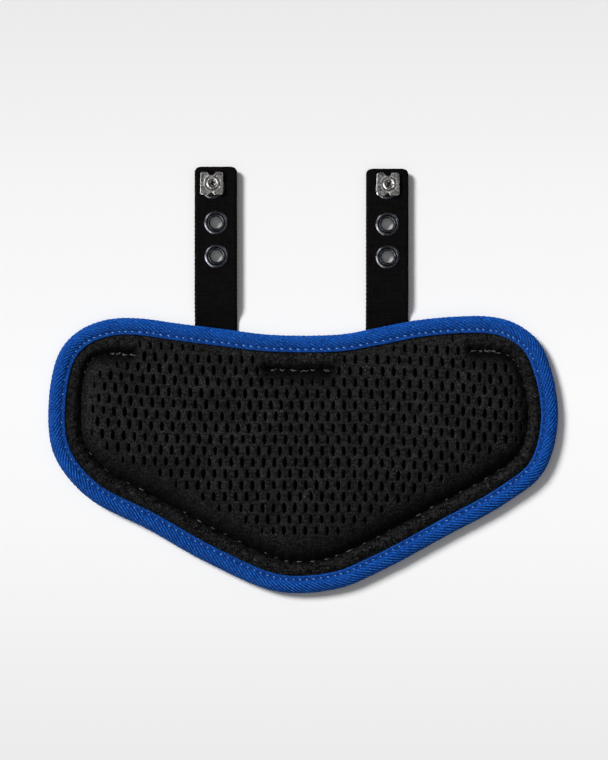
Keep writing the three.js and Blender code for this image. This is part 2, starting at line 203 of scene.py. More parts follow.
def make_table():
    mesh = bpy.data.meshes.new("table")
    half = TABLE_SIZE / 2 * MM
    corners = [(-half, -half, 0), (half, -half, 0), (half, half, 0), (-half, half, 0)]
    mesh.from_pydata(corners, [], [(0, 1, 2, 3)])
    table = add_object("table", mesh)
    material, shader = new_material("pale_table", roughness=0.9, specular=0.1)
    place = add_node(material, "ShaderNodeSeparateXYZ", Vector=object_place(material))
    share = between(material, place.outputs["Y"], 0, 1, -TABLE_REACH, TABLE_REACH)
    ramp = add_node(material, "ShaderNodeValToRGB", Fac=share)
    while len(ramp.color_ramp.elements) < len(TABLE_STOPS):
        ramp.color_ramp.elements.new(0.5)
    for element, (at, bright) in zip(ramp.color_ramp.elements, TABLE_STOPS):
        element.position = at
        element.color = (bright * TABLE_PALE,) * 3 + (1,)
    colour(material, shader, ramp.outputs["Color"])
    mesh.materials.append(material)


def make_lamp(name, side, elevation, width, strength):
    lamp = bpy.data.lights.new(name, "SUN")
    lamp.energy = strength
    lamp.angle = math.radians(width)
    holder = add_object(name, lamp)
    towards = Vector((*side, 0)).normalized() * math.cos(math.radians(elevation))
    towards.z = math.sin(math.radians(elevation))
    holder.rotation_mode = "QUATERNION"
    holder.rotation_quaternion = towards.to_track_quat("Z", "Y")
    return holder


def make_sky():
    """A sky that is bright overhead and nearly dark at the horizon."""
    world = bpy.data.worlds.new("sky")
    world.use_nodes = True
    bpy.context.scene.world = world
    back = world.node_tree.nodes["Background"]
    back.inputs["Color"].default_value = (1, 1, 1, 1)
    direction = add_node(world, "ShaderNodeTexCoord").outputs["Generated"]
    height = add_node(world, "ShaderNodeSeparateXYZ", Vector=direction).outputs["Z"]
    above = arithmetic(world, "MAXIMUM", height, 0.0)
    gathered = arithmetic(world, "POWER", above, SKY_GATHER)
    strength = between(world, gathered, SKY_RIM, SKY_ZENITH)
    world.node_tree.links.new(strength, back.inputs["Strength"])


make_table()
make_lamp("key", KEY_FROM, KEY_ELEVATION, KEY_WIDTH, KEY_STRENGTH).visible_glossy = False
for lamp_name, glint in GLINTS.items():
    make_lamp(lamp_name, **glint).visible_diffuse = False
make_sky()
print("key at", KEY_ELEVATION, "degrees, disc", KEY_WIDTH, "degrees")

# %% [markdown]
# Everything soft follows the plate's outline. The binding's solid is widest along that outline, so its
# vertices at that height are the outline's points. A closed smooth curve through them gives a place and
# an inward direction at any length along the edge, counter-clockwise from the right end. A place on the
# cloth is then a length along the edge and an inset from it.

# %% The plate's outline
OUTLINE_STEPS = 24
RING_TOLERANCE = 0.03


def object_points(thing, graph=None):
    """An object's points in millimetres, after its modifiers if a graph is given."""
    mesh = thing.evaluated_get(graph).data if graph else thing.data
    flat = np.empty(len(mesh.vertices) * 3, np.float32)
    mesh.vertices.foreach_get("co", flat)
    return flat.reshape(-1, 3).astype(float) / MM


def box_of(name):
    """A node's lowest corner, highest corner and middle in millimetres."""
    low, high = (np.array(corner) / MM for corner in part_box(name))
    return low, high, (low + high) / 2


def widest_ring(points):
    level = points[np.argmax(points[:, 0]), 2]
    at_level = np.abs(points[:, 2] - level) < RING_TOLERANCE
    ring = np.unique(np.round(points[at_level, :2], 2), axis=0)
    centre = (ring.min(0) + ring.max(0)) / 2
    turn = np.arctan2(ring[:, 1] - centre[1], ring[:, 0] - centre[0])
    return ring[np.argsort(turn)]


def catmull(before, here, after, beyond, t):
    """A smooth curve from here to after, at shares t of the way."""
    curve = 2 * here + (after - before) * t
    curve = curve + (2 * before - 5 * here + 4 * after - beyond) * t**2
    return (curve + (3 * here - before - 3 * after + beyond) * t**3) / 2


def smooth_closed(ring, steps):
    """A closed curve through the ring's points."""
    before, after, beyond = (np.roll(ring, k, 0)[:, None] for k in (1, -1, -2))
    t = np.linspace(0, 1, steps, endpoint=False)[None, :, None]
    return catmull(before, ring[:, None], after, beyond, t).reshape(-1, 2)


rim_ring = widest_ring(object_points(nodes["edge_binding"]))
rim_line = smooth_closed(rim_ring, OUTLINE_STEPS)
rim_steps = np.linalg.norm(np.roll(rim_line, -1, 0) - rim_line, axis=1)
rim_at = np.concatenate([[0], np.cumsum(rim_steps)])
RIM_LENGTH = rim_at[-1]
rim_along = np.roll(rim_line, -2, 0) - np.roll(rim_line, 2, 0)
rim_along /= np.linalg.norm(rim_along, axis=1)[:, None]
rim_inward = np.column_stack([-rim_along[:, 1], rim_along[:, 0]])


def at_rim(table, s):
    """Values of a table along the outline, at lengths s."""
    closed = np.concatenate([table, table[:1]])
    s = np.mod(s, RIM_LENGTH)
    return np.column_stack([np.interp(s, rim_at, closed[:, k]) for k in range(closed.shape[1])])


def facing(s):
    """How much the edge at each length faces left, right, low and top, each from 0 to 1."""
    across, along = at_rim(rim_inward, s).T
    return [np.clip(side, 0, 1) for side in (across, -across, along, -along)]


def place_at(s, inset):
    """Points across and along the table at lengths s and insets from the outline."""
    inward = at_rim(rim_inward, s)
    return at_rim(rim_line, s) + inward * np.asarray(inset, float).reshape(-1, 1)


rim_tree = KDTree(len(rim_line))
for index, (x, y) in enumerate(rim_line):
    rim_tree.insert((x, y, 0), index)
rim_tree.balance()


def nearest_rim(points):
    """The length along the outline and the inset of each point."""
    found = np.array([rim_tree.find((x, y, 0))[1] for x, y in points])
    offset = points - rim_line[found]
    inset = (offset * rim_inward[found]).sum(1)
    slide = (offset * rim_along[found]).sum(1)
    return rim_at[found] + slide, inset


print("outline:", len(rim_ring), "points,", round(RIM_LENGTH, 1), "mm round")

# %% [markdown]
# The pad has a quilting seam about 20 mm inside the edge. Between seam and binding the cloth makes a low
# roll; inside the seam it rises steeply to a broad flat crown. Along two stretches of the top edge the
# seam is left out, and there the mesh runs smoothly from the crown to the binding. One height function
# says all of that for any point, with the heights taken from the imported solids.

# %% Seam and height of the face
BINDING_WIDTH = 10.2
SEAM_INSET = 20.2
SEAM_RIGHT_SHIFT = -2.4
SEAM_LEFT_SHIFT = -0.9
SEAM_CORNER_SHIFT = -1.6
SEAM_LOW_SHIFT = -1.3
LOWEST_FROM = 0.94
LOWEST_RAMP = 0.05
LOOSE_RAMP = 7
RIM_TOP = 6.4
CROWN_REACH = 6.7
CROWN_POWER = 1.27
LOOSE_REACH = 11.2
LOOSE_POWER = 1.05
BORDER_ROLL = 2.7
ROLL_POWER = 0.8
CREASE_DEPTH = 0.9
CREASE_WIDTH = 1.7
QUILT_PITCH = 9.6
QUILT_THREAD = 4.1
PUCKER_DEPTH = 0.45
PUCKER_REACH = 3.2
PLATE_WIDTH = float(np.ptp(rim_ring[:, 0]))
PAD_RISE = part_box("mesh_face")[1].z / MM - RIM_TOP
LOOSE_STRETCHES = [(-0.32, -0.075), (0.062, 0.32)]


def smooth_share(value):
    value = np.clip(value, 0, 1)
    return value * value * (3 - 2 * value)


def bell(value, width):
    """1 where the value is 0, falling smoothly to nothing past about twice the width."""
    return np.exp(-((value / width) ** 2))


def seam_inset(s):
    """How far in from the outline the quilting seam runs."""
    left, right, low, top = facing(s)
    lowest = smooth_share((low - LOWEST_FROM) / LOWEST_RAMP)
    shift = SEAM_LEFT_SHIFT * left + SEAM_RIGHT_SHIFT * right + SEAM_CORNER_SHIFT * (2 * left * top)
    return SEAM_INSET + shift + SEAM_LOW_SHIFT * lowest


def looseness(s):
    """1 where the top seam is left out, 0 where it is sewn."""
    x = at_rim(rim_line, s)[:, 0]
    shares = []
    for start, end in LOOSE_STRETCHES:
        inner = np.minimum(x - start * PLATE_WIDTH, end * PLATE_WIDTH - x)
        shares.append(smooth_share(inner / LOOSE_RAMP + 0.5))
    return np.maximum(*shares) * (facing(s)[3] > 0.5)


def soft_rise(distance, reach, power):
    """The pad's rise at a distance in from where it starts."""
    return PAD_RISE * (1 - np.exp(-((np.maximum(distance, 0) / reach) ** power)))


def sewn_height(inside, roll_share, s):
    """Height over the rim where the seam is sewn: crown inside it, roll outside it."""
    roll = BORDER_ROLL * np.sin(math.pi * np.clip(roll_share, 0, 1)) ** ROLL_POWER
    crease = CREASE_DEPTH * bell(inside, CREASE_WIDTH)
    pull = np.cos(2 * math.pi * s / QUILT_PITCH) * np.exp(-np.abs(inside) / PUCKER_REACH)
    crown = soft_rise(inside, CROWN_REACH, CROWN_POWER)
    return np.where(inside > 0, crown, roll) - crease - PUCKER_DEPTH * pull


def face_height(s, inset):
    seam = seam_inset(s)
    roll_share = (seam - inset) / (seam - BINDING_WIDTH)
    sewn = sewn_height(inset - seam, roll_share, s)
    loose = soft_rise(inset - BINDING_WIDTH, LOOSE_REACH, LOOSE_POWER)
    share = looseness(s)
    return RIM_TOP + sewn * (1 - share) + loose * share


print("pad rises", round(PAD_RISE, 1), "mm over its rim; plate", round(PLATE_WIDTH, 1), "mm wide")

# %% [markdown]
# Real padding swells a little between its seams, more in the middle and less beside the stitches. Cloth
# simulation finds that swelling. A copy of the pad's solid is remeshed into even faces, held at its border,
# blown up with a little pressure, and no point may move far. The heights that it gained are read off over a
# grid, and every cloth of the pad adds them.

# %% Let the padding swell
VOXEL = 4.5
PRESSURE = 4
SWELL_FRAMES = 20
SWELL_LIMIT = 1.1
SWELL_GRID = 3.0
CLOTH_QUALITY = 6
HOLD_BAND = 3


def remeshed_pad():
    pad = add_object("swelling_pad", nodes["pad_body"].data.copy())
    remesh = pad.modifiers.new("even_faces", "REMESH")
    remesh.mode = "VOXEL"
    remesh.voxel_size = VOXEL * MM
    graph = bpy.context.evaluated_depsgraph_get()
    mesh = bpy.data.meshes.new_from_object(pad.evaluated_get(graph))
    pad.modifiers.clear()
    pad.data = mesh
    return pad


def swell(pad):
    """Blows the pad up a little and returns its points before and after."""
    before = object_points(pad)
    s, inset = nearest_rim(before[:, :2])
    sewn = inset < seam_inset(s) + HOLD_BAND
    on_table = before[:, 2] < HOLD_BAND
    held = pad.vertex_groups.new(name="held")
    held.add([int(k) for k in np.flatnonzero(sewn | on_table)], 1.0, "REPLACE")
    cloth = pad.modifiers.new("padding", "CLOTH")
    cloth.settings.vertex_group_mass = "held"
    cloth.settings.use_pressure = True
    cloth.settings.uniform_pressure_force = PRESSURE
    cloth.settings.effector_weights.gravity = 0
    cloth.settings.quality = CLOTH_QUALITY
    for number in range(1, SWELL_FRAMES + 1):
        bpy.context.scene.frame_set(number)
    after = object_points(pad, bpy.context.evaluated_depsgraph_get())
    bpy.context.scene.frame_set(1)
    return before, after


def swelling_grid():
    """How much higher the padding stands at each point of a grid over the plate."""
    low, high = rim_ring.min(0) - 2 * SWELL_GRID, rim_ring.max(0) + 2 * SWELL_GRID
    across = np.arange(low[0], high[0], SWELL_GRID)
    along = np.arange(low[1], high[1], SWELL_GRID)
    gained = np.zeros((len(along), len(across)))
    pad = remeshed_pad()
    before, after = swell(pad)
    rise = np.clip(after[:, 2] - before[:, 2], -SWELL_LIMIT, SWELL_LIMIT)
    faces = [tuple(p.vertices) for p in pad.data.polygons]
    tree = BVHTree.FromPolygons(before.tolist(), faces)
    for row, y in enumerate(along):
        for column, x in enumerate(across):
            hit = tree.ray_cast(Vector((x, y, 100)), Vector((0, 0, -1)))
            if hit[0] is not None:
                gained[row, column] = rise[list(faces[hit[2]])].mean()
    bpy.data.objects.remove(pad)
    return across, along, gained


def softened(grid, rounds):
    """Averages each grid value with its neighbours."""
    for _ in range(rounds):
        padded = np.pad(grid, 1, mode="edge")
        sides = padded[:-2, 1:-1] + padded[2:, 1:-1] + padded[1:-1, :-2] + padded[1:-1, 2:]
        grid = (sides + 4 * grid) / 8
    return grid


swell_across, swell_along, swell_gained = swelling_grid()
swell_gained = softened(swell_gained, 2)


def spline_weights(share):
    """Weights of four neighbours for a smooth reading between grid values."""
    return [
        (1 - share) ** 3 / 6,
        (3 * share**3 - 6 * share**2 + 4) / 6,
        (-3 * share**3 + 3 * share**2 + 3 * share + 1) / 6,
        share**3 / 6,
    ]


def swelling(points):
    column = (points[:, 0] - swell_across[0]) / SWELL_GRID
    row = (points[:, 1] - swell_along[0]) / SWELL_GRID
    column = np.clip(column, 1, len(swell_across) - 3.001)
    row = np.clip(row, 1, len(swell_along) - 3.001)
    c, r = np.floor(column).astype(int), np.floor(row).astype(int)
    total = np.zeros(len(points))
    for i, across_weight in enumerate(spline_weights(column - c)):
        for j, along_weight in enumerate(spline_weights(row - r)):
            total += across_weight * along_weight * swell_gained[r + j - 1, c + i - 1]
    return total


print("swelling from", round(float(swell_gained.min()), 2), "to", round(float(swell_gained.max()), 2), "mm")

# %% [markdown]
# Meshes here are made from arrays of points and faces. A helper turns millimetres into metres, shades
# the faces smoothly, stores any values that a material reads, and lets the piece ride on the one body.
# Small random differences come from one smooth bumpy function, made of a few waves with fixed
# directions, so that every run gives the same plate.


# %% Mesh helpers
def make_piece(name, points, faces, material, values=None, smooth=True):
    mesh = bpy.data.meshes.new(name)
    mesh.from_pydata((np.asarray(points) * MM).tolist(), [], [list(map(int, f)) for f in faces])
    mesh.materials.append(material)
    mesh.polygons.foreach_set("use_smooth", [smooth] * len(mesh.polygons))
    for label, numbers in (values or {}).items():
        layer = mesh.attributes.new(label, "FLOAT", "POINT")
        layer.data.foreach_set("value", np.asarray(numbers, np.float32))
    mesh.update()
    piece = add_object(name, mesh)
    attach(piece, "root")
    print(name, len(mesh.vertices), "points,", sum(len(f) - 2 for f in faces), "triangles")
    return piece


def sweep_faces(columns, rows, close_columns=True, close_rows=True):
    """Faces of a grid of columns times rows of points, facing out when rows turn right-handed."""
    faces = []
    for c in range(columns if close_columns else columns - 1):
        near, far = c * rows, ((c + 1) % columns) * rows
        for r in range(rows if close_rows else rows - 1):
            up = (r + 1) % rows
            faces.append((near + r, far + r, far + up, near + up))
    return faces

def by_column(rows):
    """Rows of points, or of values, as one list that runs column by column."""
    table = np.stack(rows, 1)
    return table.reshape(table.shape[0] * len(rows), *table.shape[2:])


def bumpy(x, y, size, seed, waves=9):
    """A smooth random value about -1 to 1, with lumps of about the given size."""
    rng = np.random.default_rng(seed)
    total = np.zeros(np.shape(x))
    for _ in range(waves):
        turn = rng.uniform(0, 2 * math.pi)
        pace = 2 * math.pi / (size * rng.uniform(1.2, 2.6))
        shift = rng.uniform(0, 2 * math.pi)
        total += np.sin((x * math.cos(turn) + y * math.sin(turn)) * pace + shift)
    return total / waves * 2


def cloth_top(points, s, inset, lumps=0.25):
    """Height of the mesh cloth's upper side at points on the face."""
    x, y = points[:, :2].T
    uneven = bumpy(x, y, size=17, seed=5) * lumps + bumpy(x, y, size=6, seed=6) * lumps * 0.4
    room = smooth_share((inset - BINDING_WIDTH) / 4)
    return face_height(s, inset) + swelling(points) + uneven * room


# %% [markdown]
# The face is black spacer mesh: a thick knit with about six hundred upright lens-shaped holes in
# staggered rows. Holes painted on a flat cloth look dead at the edges, so here they are cut through. The
# knit is made of six-sided cells that share their borders, each with a ring of points round its hole, a
# raised round shoulder and a wall down to the underside. The rows on the real pad droop towards the
# right, the columns lean a little, and the short seam in the middle of the top gathers the knit towards
# itself, which a few numbers in the cell's place give.

# %% Cells of the mesh
MESH_MIDDLE = (-0.96, -42.34)
MESH_PITCH = 6.434
MESH_ROW = 6.802
MESH_LEAN = -0.139
MESH_FAN = 0.0102
MESH_CURL = 0.0064
MESH_DROOP = 0.0064
MESH_TWIST = 0.000827
MESH_TWIST_END = 18.2
MESH_SPREAD = 0.00076
MESH_TOP = 25
MESH_GATHER = 1.4
MESH_GATHER_MIDDLE = -7
MESH_GATHER_WIDTH = 25
MESH_GATHER_REACH = 55
MESH_TOP_TILT = 1.0
MESH_TILT_REACH = 90
MESH_TILT_MOST = 1.3
MESH_COLUMNS = 24
MESH_ROWS_UP = 12
MESH_ROWS_DOWN = 13
CELL_APEX = 0.62
CELL_SIDE_STEPS = 4
CELL_SLANT_STEPS = 3
HOLE_WIDTH = 2.0
HOLE_LENGTH = 5.6
MESH_CLOTH = 1.9
SHOULDER = 0.34
SHOULDER_RISE = 0.3
LENS_ROUND = 0.15


def mesh_place(u, v):
    """Where a place in the knit, counted in columns and rows, lies on the face."""
    x = MESH_MIDDLE[0] + MESH_PITCH * u + MESH_LEAN * v + MESH_FAN * u * v + MESH_CURL * v * v
    y = MESH_MIDDLE[1] - MESH_ROW * v - MESH_DROOP * u * u - MESH_SPREAD * u * u * v
    y = y - MESH_TWIST * np.minimum(u, MESH_TWIST_END) ** 3
    away = (x - MESH_GATHER_MIDDLE) / MESH_GATHER_WIDTH
    near_top = np.exp((y - MESH_TOP) / MESH_GATHER_REACH)
    tilt = MESH_TOP_TILT * np.clip(x / MESH_TILT_REACH, -MESH_TILT_MOST, 1) * smooth_share(y / MESH_TOP)
    return np.stack([x - MESH_GATHER * away * np.exp((1 - away**2) / 2) * near_top, y + tilt], -1)


def cell_border():
    """A cell's six-sided border about its middle, in columns and rows, counter-clockwise."""
    apex, shoulder = CELL_APEX, 1 - CELL_APEX
    corners = [(0.5, shoulder), (0.5, -shoulder), (0, -apex), (-0.5, -shoulder), (-0.5, shoulder), (0, apex)]
    steps = [CELL_SIDE_STEPS, CELL_SLANT_STEPS, CELL_SLANT_STEPS] * 2
    border = []
    for k, count in enumerate(steps):
        start, end = np.array(corners[k]), np.array(corners[(k + 1) % 6])
        border += [start + (end - start) * i / count for i in range(count)]
    return np.array(border)


border = cell_border()
CELL_POINTS = len(border)
border_turn = np.arctan2(-border[:, 1] * MESH_ROW, border[:, 0] * MESH_PITCH)


def lens(turn, width, length):
    """A point of a lens-shaped ring at each turn: round sides and narrow ends."""
    across = width / 2 * np.cos(turn) * (1 - LENS_ROUND + LENS_ROUND * np.abs(np.cos(turn)))
    along = length / 2 * np.sin(turn)
    return np.stack([across, along], -1)


print("cell border:", CELL_POINTS, "points")

# %% [markdown]
# The black knit is almost the same tone all over, yet it isn't flat. Fine courses run across it, single
# threads catch the light as small specks, and the deep folds beside the seams stay darker. The material has
# a stretched noise for the courses, a sharp one for the specks, which are painted glints, and painted shade
# in the folds, in the rumples and down the holes. The plain cover behind it is a closer weave.


# %% Black cloths
MESH_LIT = (0.0175, 0.0175, 0.0180)
MESH_DIM = (0.0040, 0.0040, 0.0042)
MESH_PAINTED_GLINT = (0.055, 0.055, 0.056)
# Near-black painted shade for the folds, the rumples, the hole walls and the body seen down the holes.
MESH_PAINTED_SHADE = (0.0007, 0.0007, 0.0008)
COVER_LIT = (0.0105, 0.0105, 0.0110)
COVER_DIM = (0.0050, 0.0050, 0.0052)


def make_mesh_cloth():
    material, shader = new_material("spacer_mesh_knit", roughness=0.85, specular=0.03)
    wear_and_painted_light = attribute(material, "wear_and_painted_light")
    courses = noise(material, 850, 1.0, (0.3, 1.0, 1))
    wales = noise(material, 950, 1.0, (1.0, 0.5, 1), 0.3)
    threads = arithmetic(material, "ADD", courses, wales)
    knit = mixed(material, between(material, threads, 0, 1, 0.8, 1.22), MESH_DIM, MESH_LIT)
    # Painted shade: dark mottles in the rumpled cloth, most beside the low seam.
    mottle = between(material, noise(material, 380, 2.0), 0.9, 0, 0.36, 0.58)
    rumple_shaded = mixed(material, arithmetic(material, "MULTIPLY", mottle, wear_and_painted_light), knit, MESH_PAINTED_SHADE)
    # Pale specks are painted glints where single threads catch the light.
    fine = between(material, noise(material, 1300, 0.0), 0, 1, 0.64, 0.78)
    patches = between(material, noise(material, 90, 1.0), 0, 1, 0.5, 0.64)
    often = arithmetic(material, "MAXIMUM", patches, arithmetic(material, "MULTIPLY", wear_and_painted_light, 0.8))
    lit = mixed(material, arithmetic(material, "MULTIPLY", fine, often), rumple_shaded, MESH_PAINTED_GLINT)
    # Painted shade darkens the folds beside the seams and the hole walls towards near-black.
    colour(material, shader, mixed(material, attribute(material, "fold_shade"), lit, MESH_PAINTED_SHADE))
    raise_bump(material, shader, threads, 0.5, 0.9)
    return material


def make_back_cover():
    material, shader = new_material("plain_back_cover", roughness=0.85, specular=0.05)
    over = noise(material, 1600, 1.0, (1, 0.3, 1))
    under = noise(material, 1600, 1.0, (0.3, 1, 1))
    weave = arithmetic(material, "ADD", over, under)
    woven = mixed(material, between(material, weave, 0, 1, 0.7, 1.3), COVER_DIM, COVER_LIT)
    # Painted shade: the upper side, seen only down the holes, is near-black.
    colour(material, shader, mixed(material, attribute(material, "under_mesh_shade"), woven, MESH_PAINTED_SHADE))
    raise_bump(material, shader, weave, 0.25, 0.8)
    return material


mesh_cloth = make_mesh_cloth()
back_cover = make_back_cover()
print("cloths:", mesh_cloth.name, back_cover.name)

# %% [markdown]
# Now the cells become one cloth. A cell that would reach past the seam, or under the binding where the
# seam is left out, has those points pulled back onto that line. Beside a sewn seam the foam is squeezed
# and the holes close up, so a hole shrinks with its distance from the stitches and the last cells have
# none. The open border of the cloth gets a side wall, so that the whole net is one closed body.

# %% Build the net
HALF_OPEN_SIDE = 4.0
HALF_OPEN_LOW = 14.0
HALF_OPEN_TOP = 7.2
HALF_OPEN_LEFT_MORE = 3.0
HALF_OPEN_CORNER_MORE = 3.0
HALF_OPEN_LOOSE = 5.2
OPENING_RAMP = 7.0
LEAST_OPEN = 0.3
NARROW_PART = 0.5
CLOSED_SIZE = 0.5
SMALLEST_HOLE = 0.45
HOLE_UNEVEN = (0.88, 1.1)
HOLE_LEAN = 0.05
HOLE_EDGE_SINK = 0.3
HOLE_EDGE_SHADE = 0.35
KNIT_LIFT = 0.1
FOLD_REACH = 2.6
FOLD_LEVEL_MORE = 4.0
FOLD_TOP_MORE = 1.6
FOLD_LOW_RIGHT_MORE = 2.6
FOLD_SHADE_STRENGTH = 0.9
SIDE_FOLD_FAINT = 0.5
LOW_DIM = 0.42
LOW_DIM_REACH = 17
TUCK_UNDER_BINDING = 1.5
KEEP_BEYOND = 4.4
HOLE_WALL_SHADE = 2.5


def field_inset(s):
    """The inset of the line that the net ends on."""
    share = looseness(s)
    return seam_inset(s) * (1 - share) + (BINDING_WIDTH - TUCK_UNDER_BINDING) * share


def kept_inside(points):
    """Points with any that lie past the net's edge pulled back onto it, with their rim places."""
    s, inset = nearest_rim(points)
    edge = field_inset(s)
    outside = inset < edge
    points = np.where(outside[:, None], place_at(s, edge), points)
    return points, s, np.maximum(inset, edge)


def cloth_thickness(s, inset):
    """The mesh cloth is squeezed thin beside its seams."""
    return MESH_CLOTH * (0.55 + 0.45 * smooth_share((inset - field_inset(s)) / 6))


def fold_shade_share(s, inset):
    """Painted shade: 1 deep in the fold inside a sewn seam, 0 on the open crown, with a broad band inside
    the low seam.
    """
    inside = inset - seam_inset(s)
    left, right, low, top = facing(s)
    reach = FOLD_REACH + FOLD_LEVEL_MORE * (low + top) + FOLD_TOP_MORE * top
    reach = reach + FOLD_LOW_RIGHT_MORE * low * np.clip(2 * right, 0, 1)
    depth = FOLD_SHADE_STRENGTH - SIDE_FOLD_FAINT * (left + right) ** 2
    fold = bell(inside, reach) * (1 - looseness(s)) * depth
    # A broad band of painted shade lies inside the low seam.
    dim = LOW_DIM * low * bell(inside, LOW_DIM_REACH)
    return 1 - (1 - fold) * (1 - dim)


def rumple_shade_and_glint_share(s, inset):
    """Painted shade in the rumples and painted glints: most beside the low seam, little on the crown."""
    near = np.exp(-np.maximum(inset - seam_inset(s), 0) / (4 + 10 * facing(s)[2]))
    return near * (1 - 0.6 * looseness(s))


def half_open(s):
    """How far in from the net's edge a hole is half open."""
    left, _, low, top = facing(s)
    sewn = HALF_OPEN_SIDE + (HALF_OPEN_LOW - HALF_OPEN_SIDE) * low**1.5
    sewn += (HALF_OPEN_TOP - HALF_OPEN_SIDE) * top**1.5
    sewn += HALF_OPEN_LEFT_MORE * left**3 + HALF_OPEN_CORNER_MORE * 2 * left * top
    share = looseness(s)
    return sewn * (1 - share) + HALF_OPEN_LOOSE * share


def mesh_cells():
    rows = range(-MESH_ROWS_UP, MESH_ROWS_DOWN + 1)
    columns = range(-MESH_COLUMNS, MESH_COLUMNS + 1)
    cells = np.array([(c + (r % 2) / 2, r) for r in rows for c in columns], float)
    middles = mesh_place(cells[:, 0], cells[:, 1])
    s, inset = nearest_rim(middles)
    near = inset - field_inset(s)
    opened = smooth_share((near - half_open(s)) / OPENING_RAMP + 0.5)
    kept = near > -KEEP_BEYOND
    return cells[kept], middles[kept], opened[kept]


def level_points(points, lift):
    """Ring points on the cloth: their places, heights with a lift, thickness, and marks of painted shade and
    glints.
    """
    flat, s, inset = kept_inside(points.reshape(-1, 2))
    top = cloth_top(flat, s, inset) + np.broadcast_to(lift, points.shape[:-1]).reshape(-1)
    marks = np.column_stack([fold_shade_share(s, inset), rumple_shade_and_glint_share(s, inset)])
    return np.column_stack([flat, top]), cloth_thickness(s, inset), marks


def lowered(points, depth):
    low = points.copy()
    low[:, 2] -= depth
    return low


def build_net():
    cells, middles, opened = mesh_cells()
    corners = cells[:, None] + border[None]
    shared, owner = np.unique(np.round(corners.reshape(-1, 2), 4), axis=0, return_inverse=True)
    owner = owner.reshape(len(cells), CELL_POINTS)
    rng = np.random.default_rng(11)
    outer_flat = mesh_place(shared[:, 0], shared[:, 1])
    outer, thick, outer_marks = level_points(outer_flat, -KNIT_LIFT)
    has_hole = opened > LEAST_OPEN
    size = np.where(has_hole, SMALLEST_HOLE + (1 - SMALLEST_HOLE) * opened, CLOSED_SIZE)
    size = size * rng.uniform(*HOLE_UNEVEN, len(cells))
    ring = lens(border_turn, HOLE_WIDTH, HOLE_LENGTH)[None] * size[:, None, None]
    ring[..., 0] *= (1 - NARROW_PART * (1 - opened) * has_hole)[:, None]
    lean = rng.uniform(-HOLE_LEAN, HOLE_LEAN, len(cells))[:, None]
    ring = np.stack([ring[..., 0] + ring[..., 1] * lean, ring[..., 1]], -1) + middles[:, None]
    shoulder_flat = ring + (outer_flat[owner] - ring) * SHOULDER
    edge_lift = np.where(has_hole, -HOLE_EDGE_SINK, KNIT_LIFT)[:, None]
    edge, edge_thick, edge_marks = level_points(ring, edge_lift)
    shoulder, _, shoulder_marks = level_points(shoulder_flat, SHOULDER_RISE)
    middle, middle_thick, middle_marks = level_points(middles, KNIT_LIFT)
    # Painted shade: the lower hole walls are near-black and the hole edges darker, as the shade down the
    # holes.
    deep_marks = edge_marks.copy()
    deep_marks[:, 0] = HOLE_WALL_SHADE
    dark_edges = np.repeat(has_hole * HOLE_EDGE_SHADE, CELL_POINTS)
    edge_marks[:, 0] = np.maximum(edge_marks[:, 0], dark_edges)
    parts = [outer, lowered(outer, thick), edge, lowered(edge, edge_thick), shoulder]
    parts += [middle, lowered(middle, middle_thick)]
    starts = np.cumsum([0] + [len(p) for p in parts])
    outer_at, under_at, edge_at, low_at, shoulder_at, middle_at, middle_low_at = starts[:-1]
    own = np.arange(len(cells) * CELL_POINTS).reshape(len(cells), CELL_POINTS)
    turned = np.roll(np.arange(CELL_POINTS), -1)

    def bands(near, far, chosen):
        a, b = near[chosen], far[chosen]
        quads = np.stack([a, b, b[:, turned], a[:, turned]], -1)
        return quads.reshape(-1, 4)

    every = np.ones(len(cells), bool)
    quads = [
        bands(own + shoulder_at, owner + outer_at, every),
        bands(own + edge_at, own + shoulder_at, every),
        bands(own + low_at, own + edge_at, has_hole),
        bands(owner + under_at, own + low_at, has_hole),
    ]
    fans = []
    for k in np.flatnonzero(~has_hole):
        for i in range(CELL_POINTS):
            j = turned[i]
            fans.append((middle_at + k, own[k, i] + edge_at, own[k, j] + edge_at))
            fans.append((middle_low_at + k, owner[k, j] + under_at, owner[k, i] + under_at))
    rim_walls = open_edges(quads[0][:, 1:3], outer_at, under_at)
    points = np.concatenate(parts)
    marks = [outer_marks, outer_marks, edge_marks, deep_marks, shoulder_marks, middle_marks, middle_marks]
    faces = np.concatenate(quads).tolist() + fans + rim_walls
    print("holes cut:", int(has_hole.sum()), "of", len(cells), "cells")
    return points, faces, np.concatenate(marks)


def open_edges(edges, outer_at, under_at):
    """Side walls below the border edges that only one cell has."""
    ordered = np.sort(edges, axis=1)
    _, first, count = np.unique(ordered, axis=0, return_index=True, return_counts=True)
    single = edges[first[count == 1]]
    drop = under_at - outer_at
    return [(int(a), int(a) + drop, int(b) + drop, int(b)) for a, b in single]


net_points, net_faces, net_marks = build_net()

# %% [markdown]
# Outside the seam the same cloth is squeezed into a roll without open holes. It is a separate strip here,
# swept round the plate, from the crease to under the binding's lip. Its outline is the same height
# function, with smaller and livelier lumps, because this part of the real cloth is rumpled. Where the
# seam is left out the strip narrows to nothing below the net.

# %% Border roll, and the face as one piece
ROLL_COLUMNS = 1100
ROLL_SHARES = (0.0, 0.08, 0.18, 0.3, 0.42, 0.54, 0.66, 0.78, 0.9, 1.0)
ROLL_THICKNESS = 1.2
ROLL_OVERLAP = 0.35
ROLL_LEFT_SHADE = 0.3
TOP_FOLD_MORE = 0.16
ROLL_RUMPLE_SHADE_LEAST = 0.75
ROLL_FOLD = 0.16
ROLL_DEPTH = 0.85
ROLL_EDGE_FOLD = 0.1
ROLL_EDGE_DEPTH = 0.5
ROLL_TUCK = 2.0


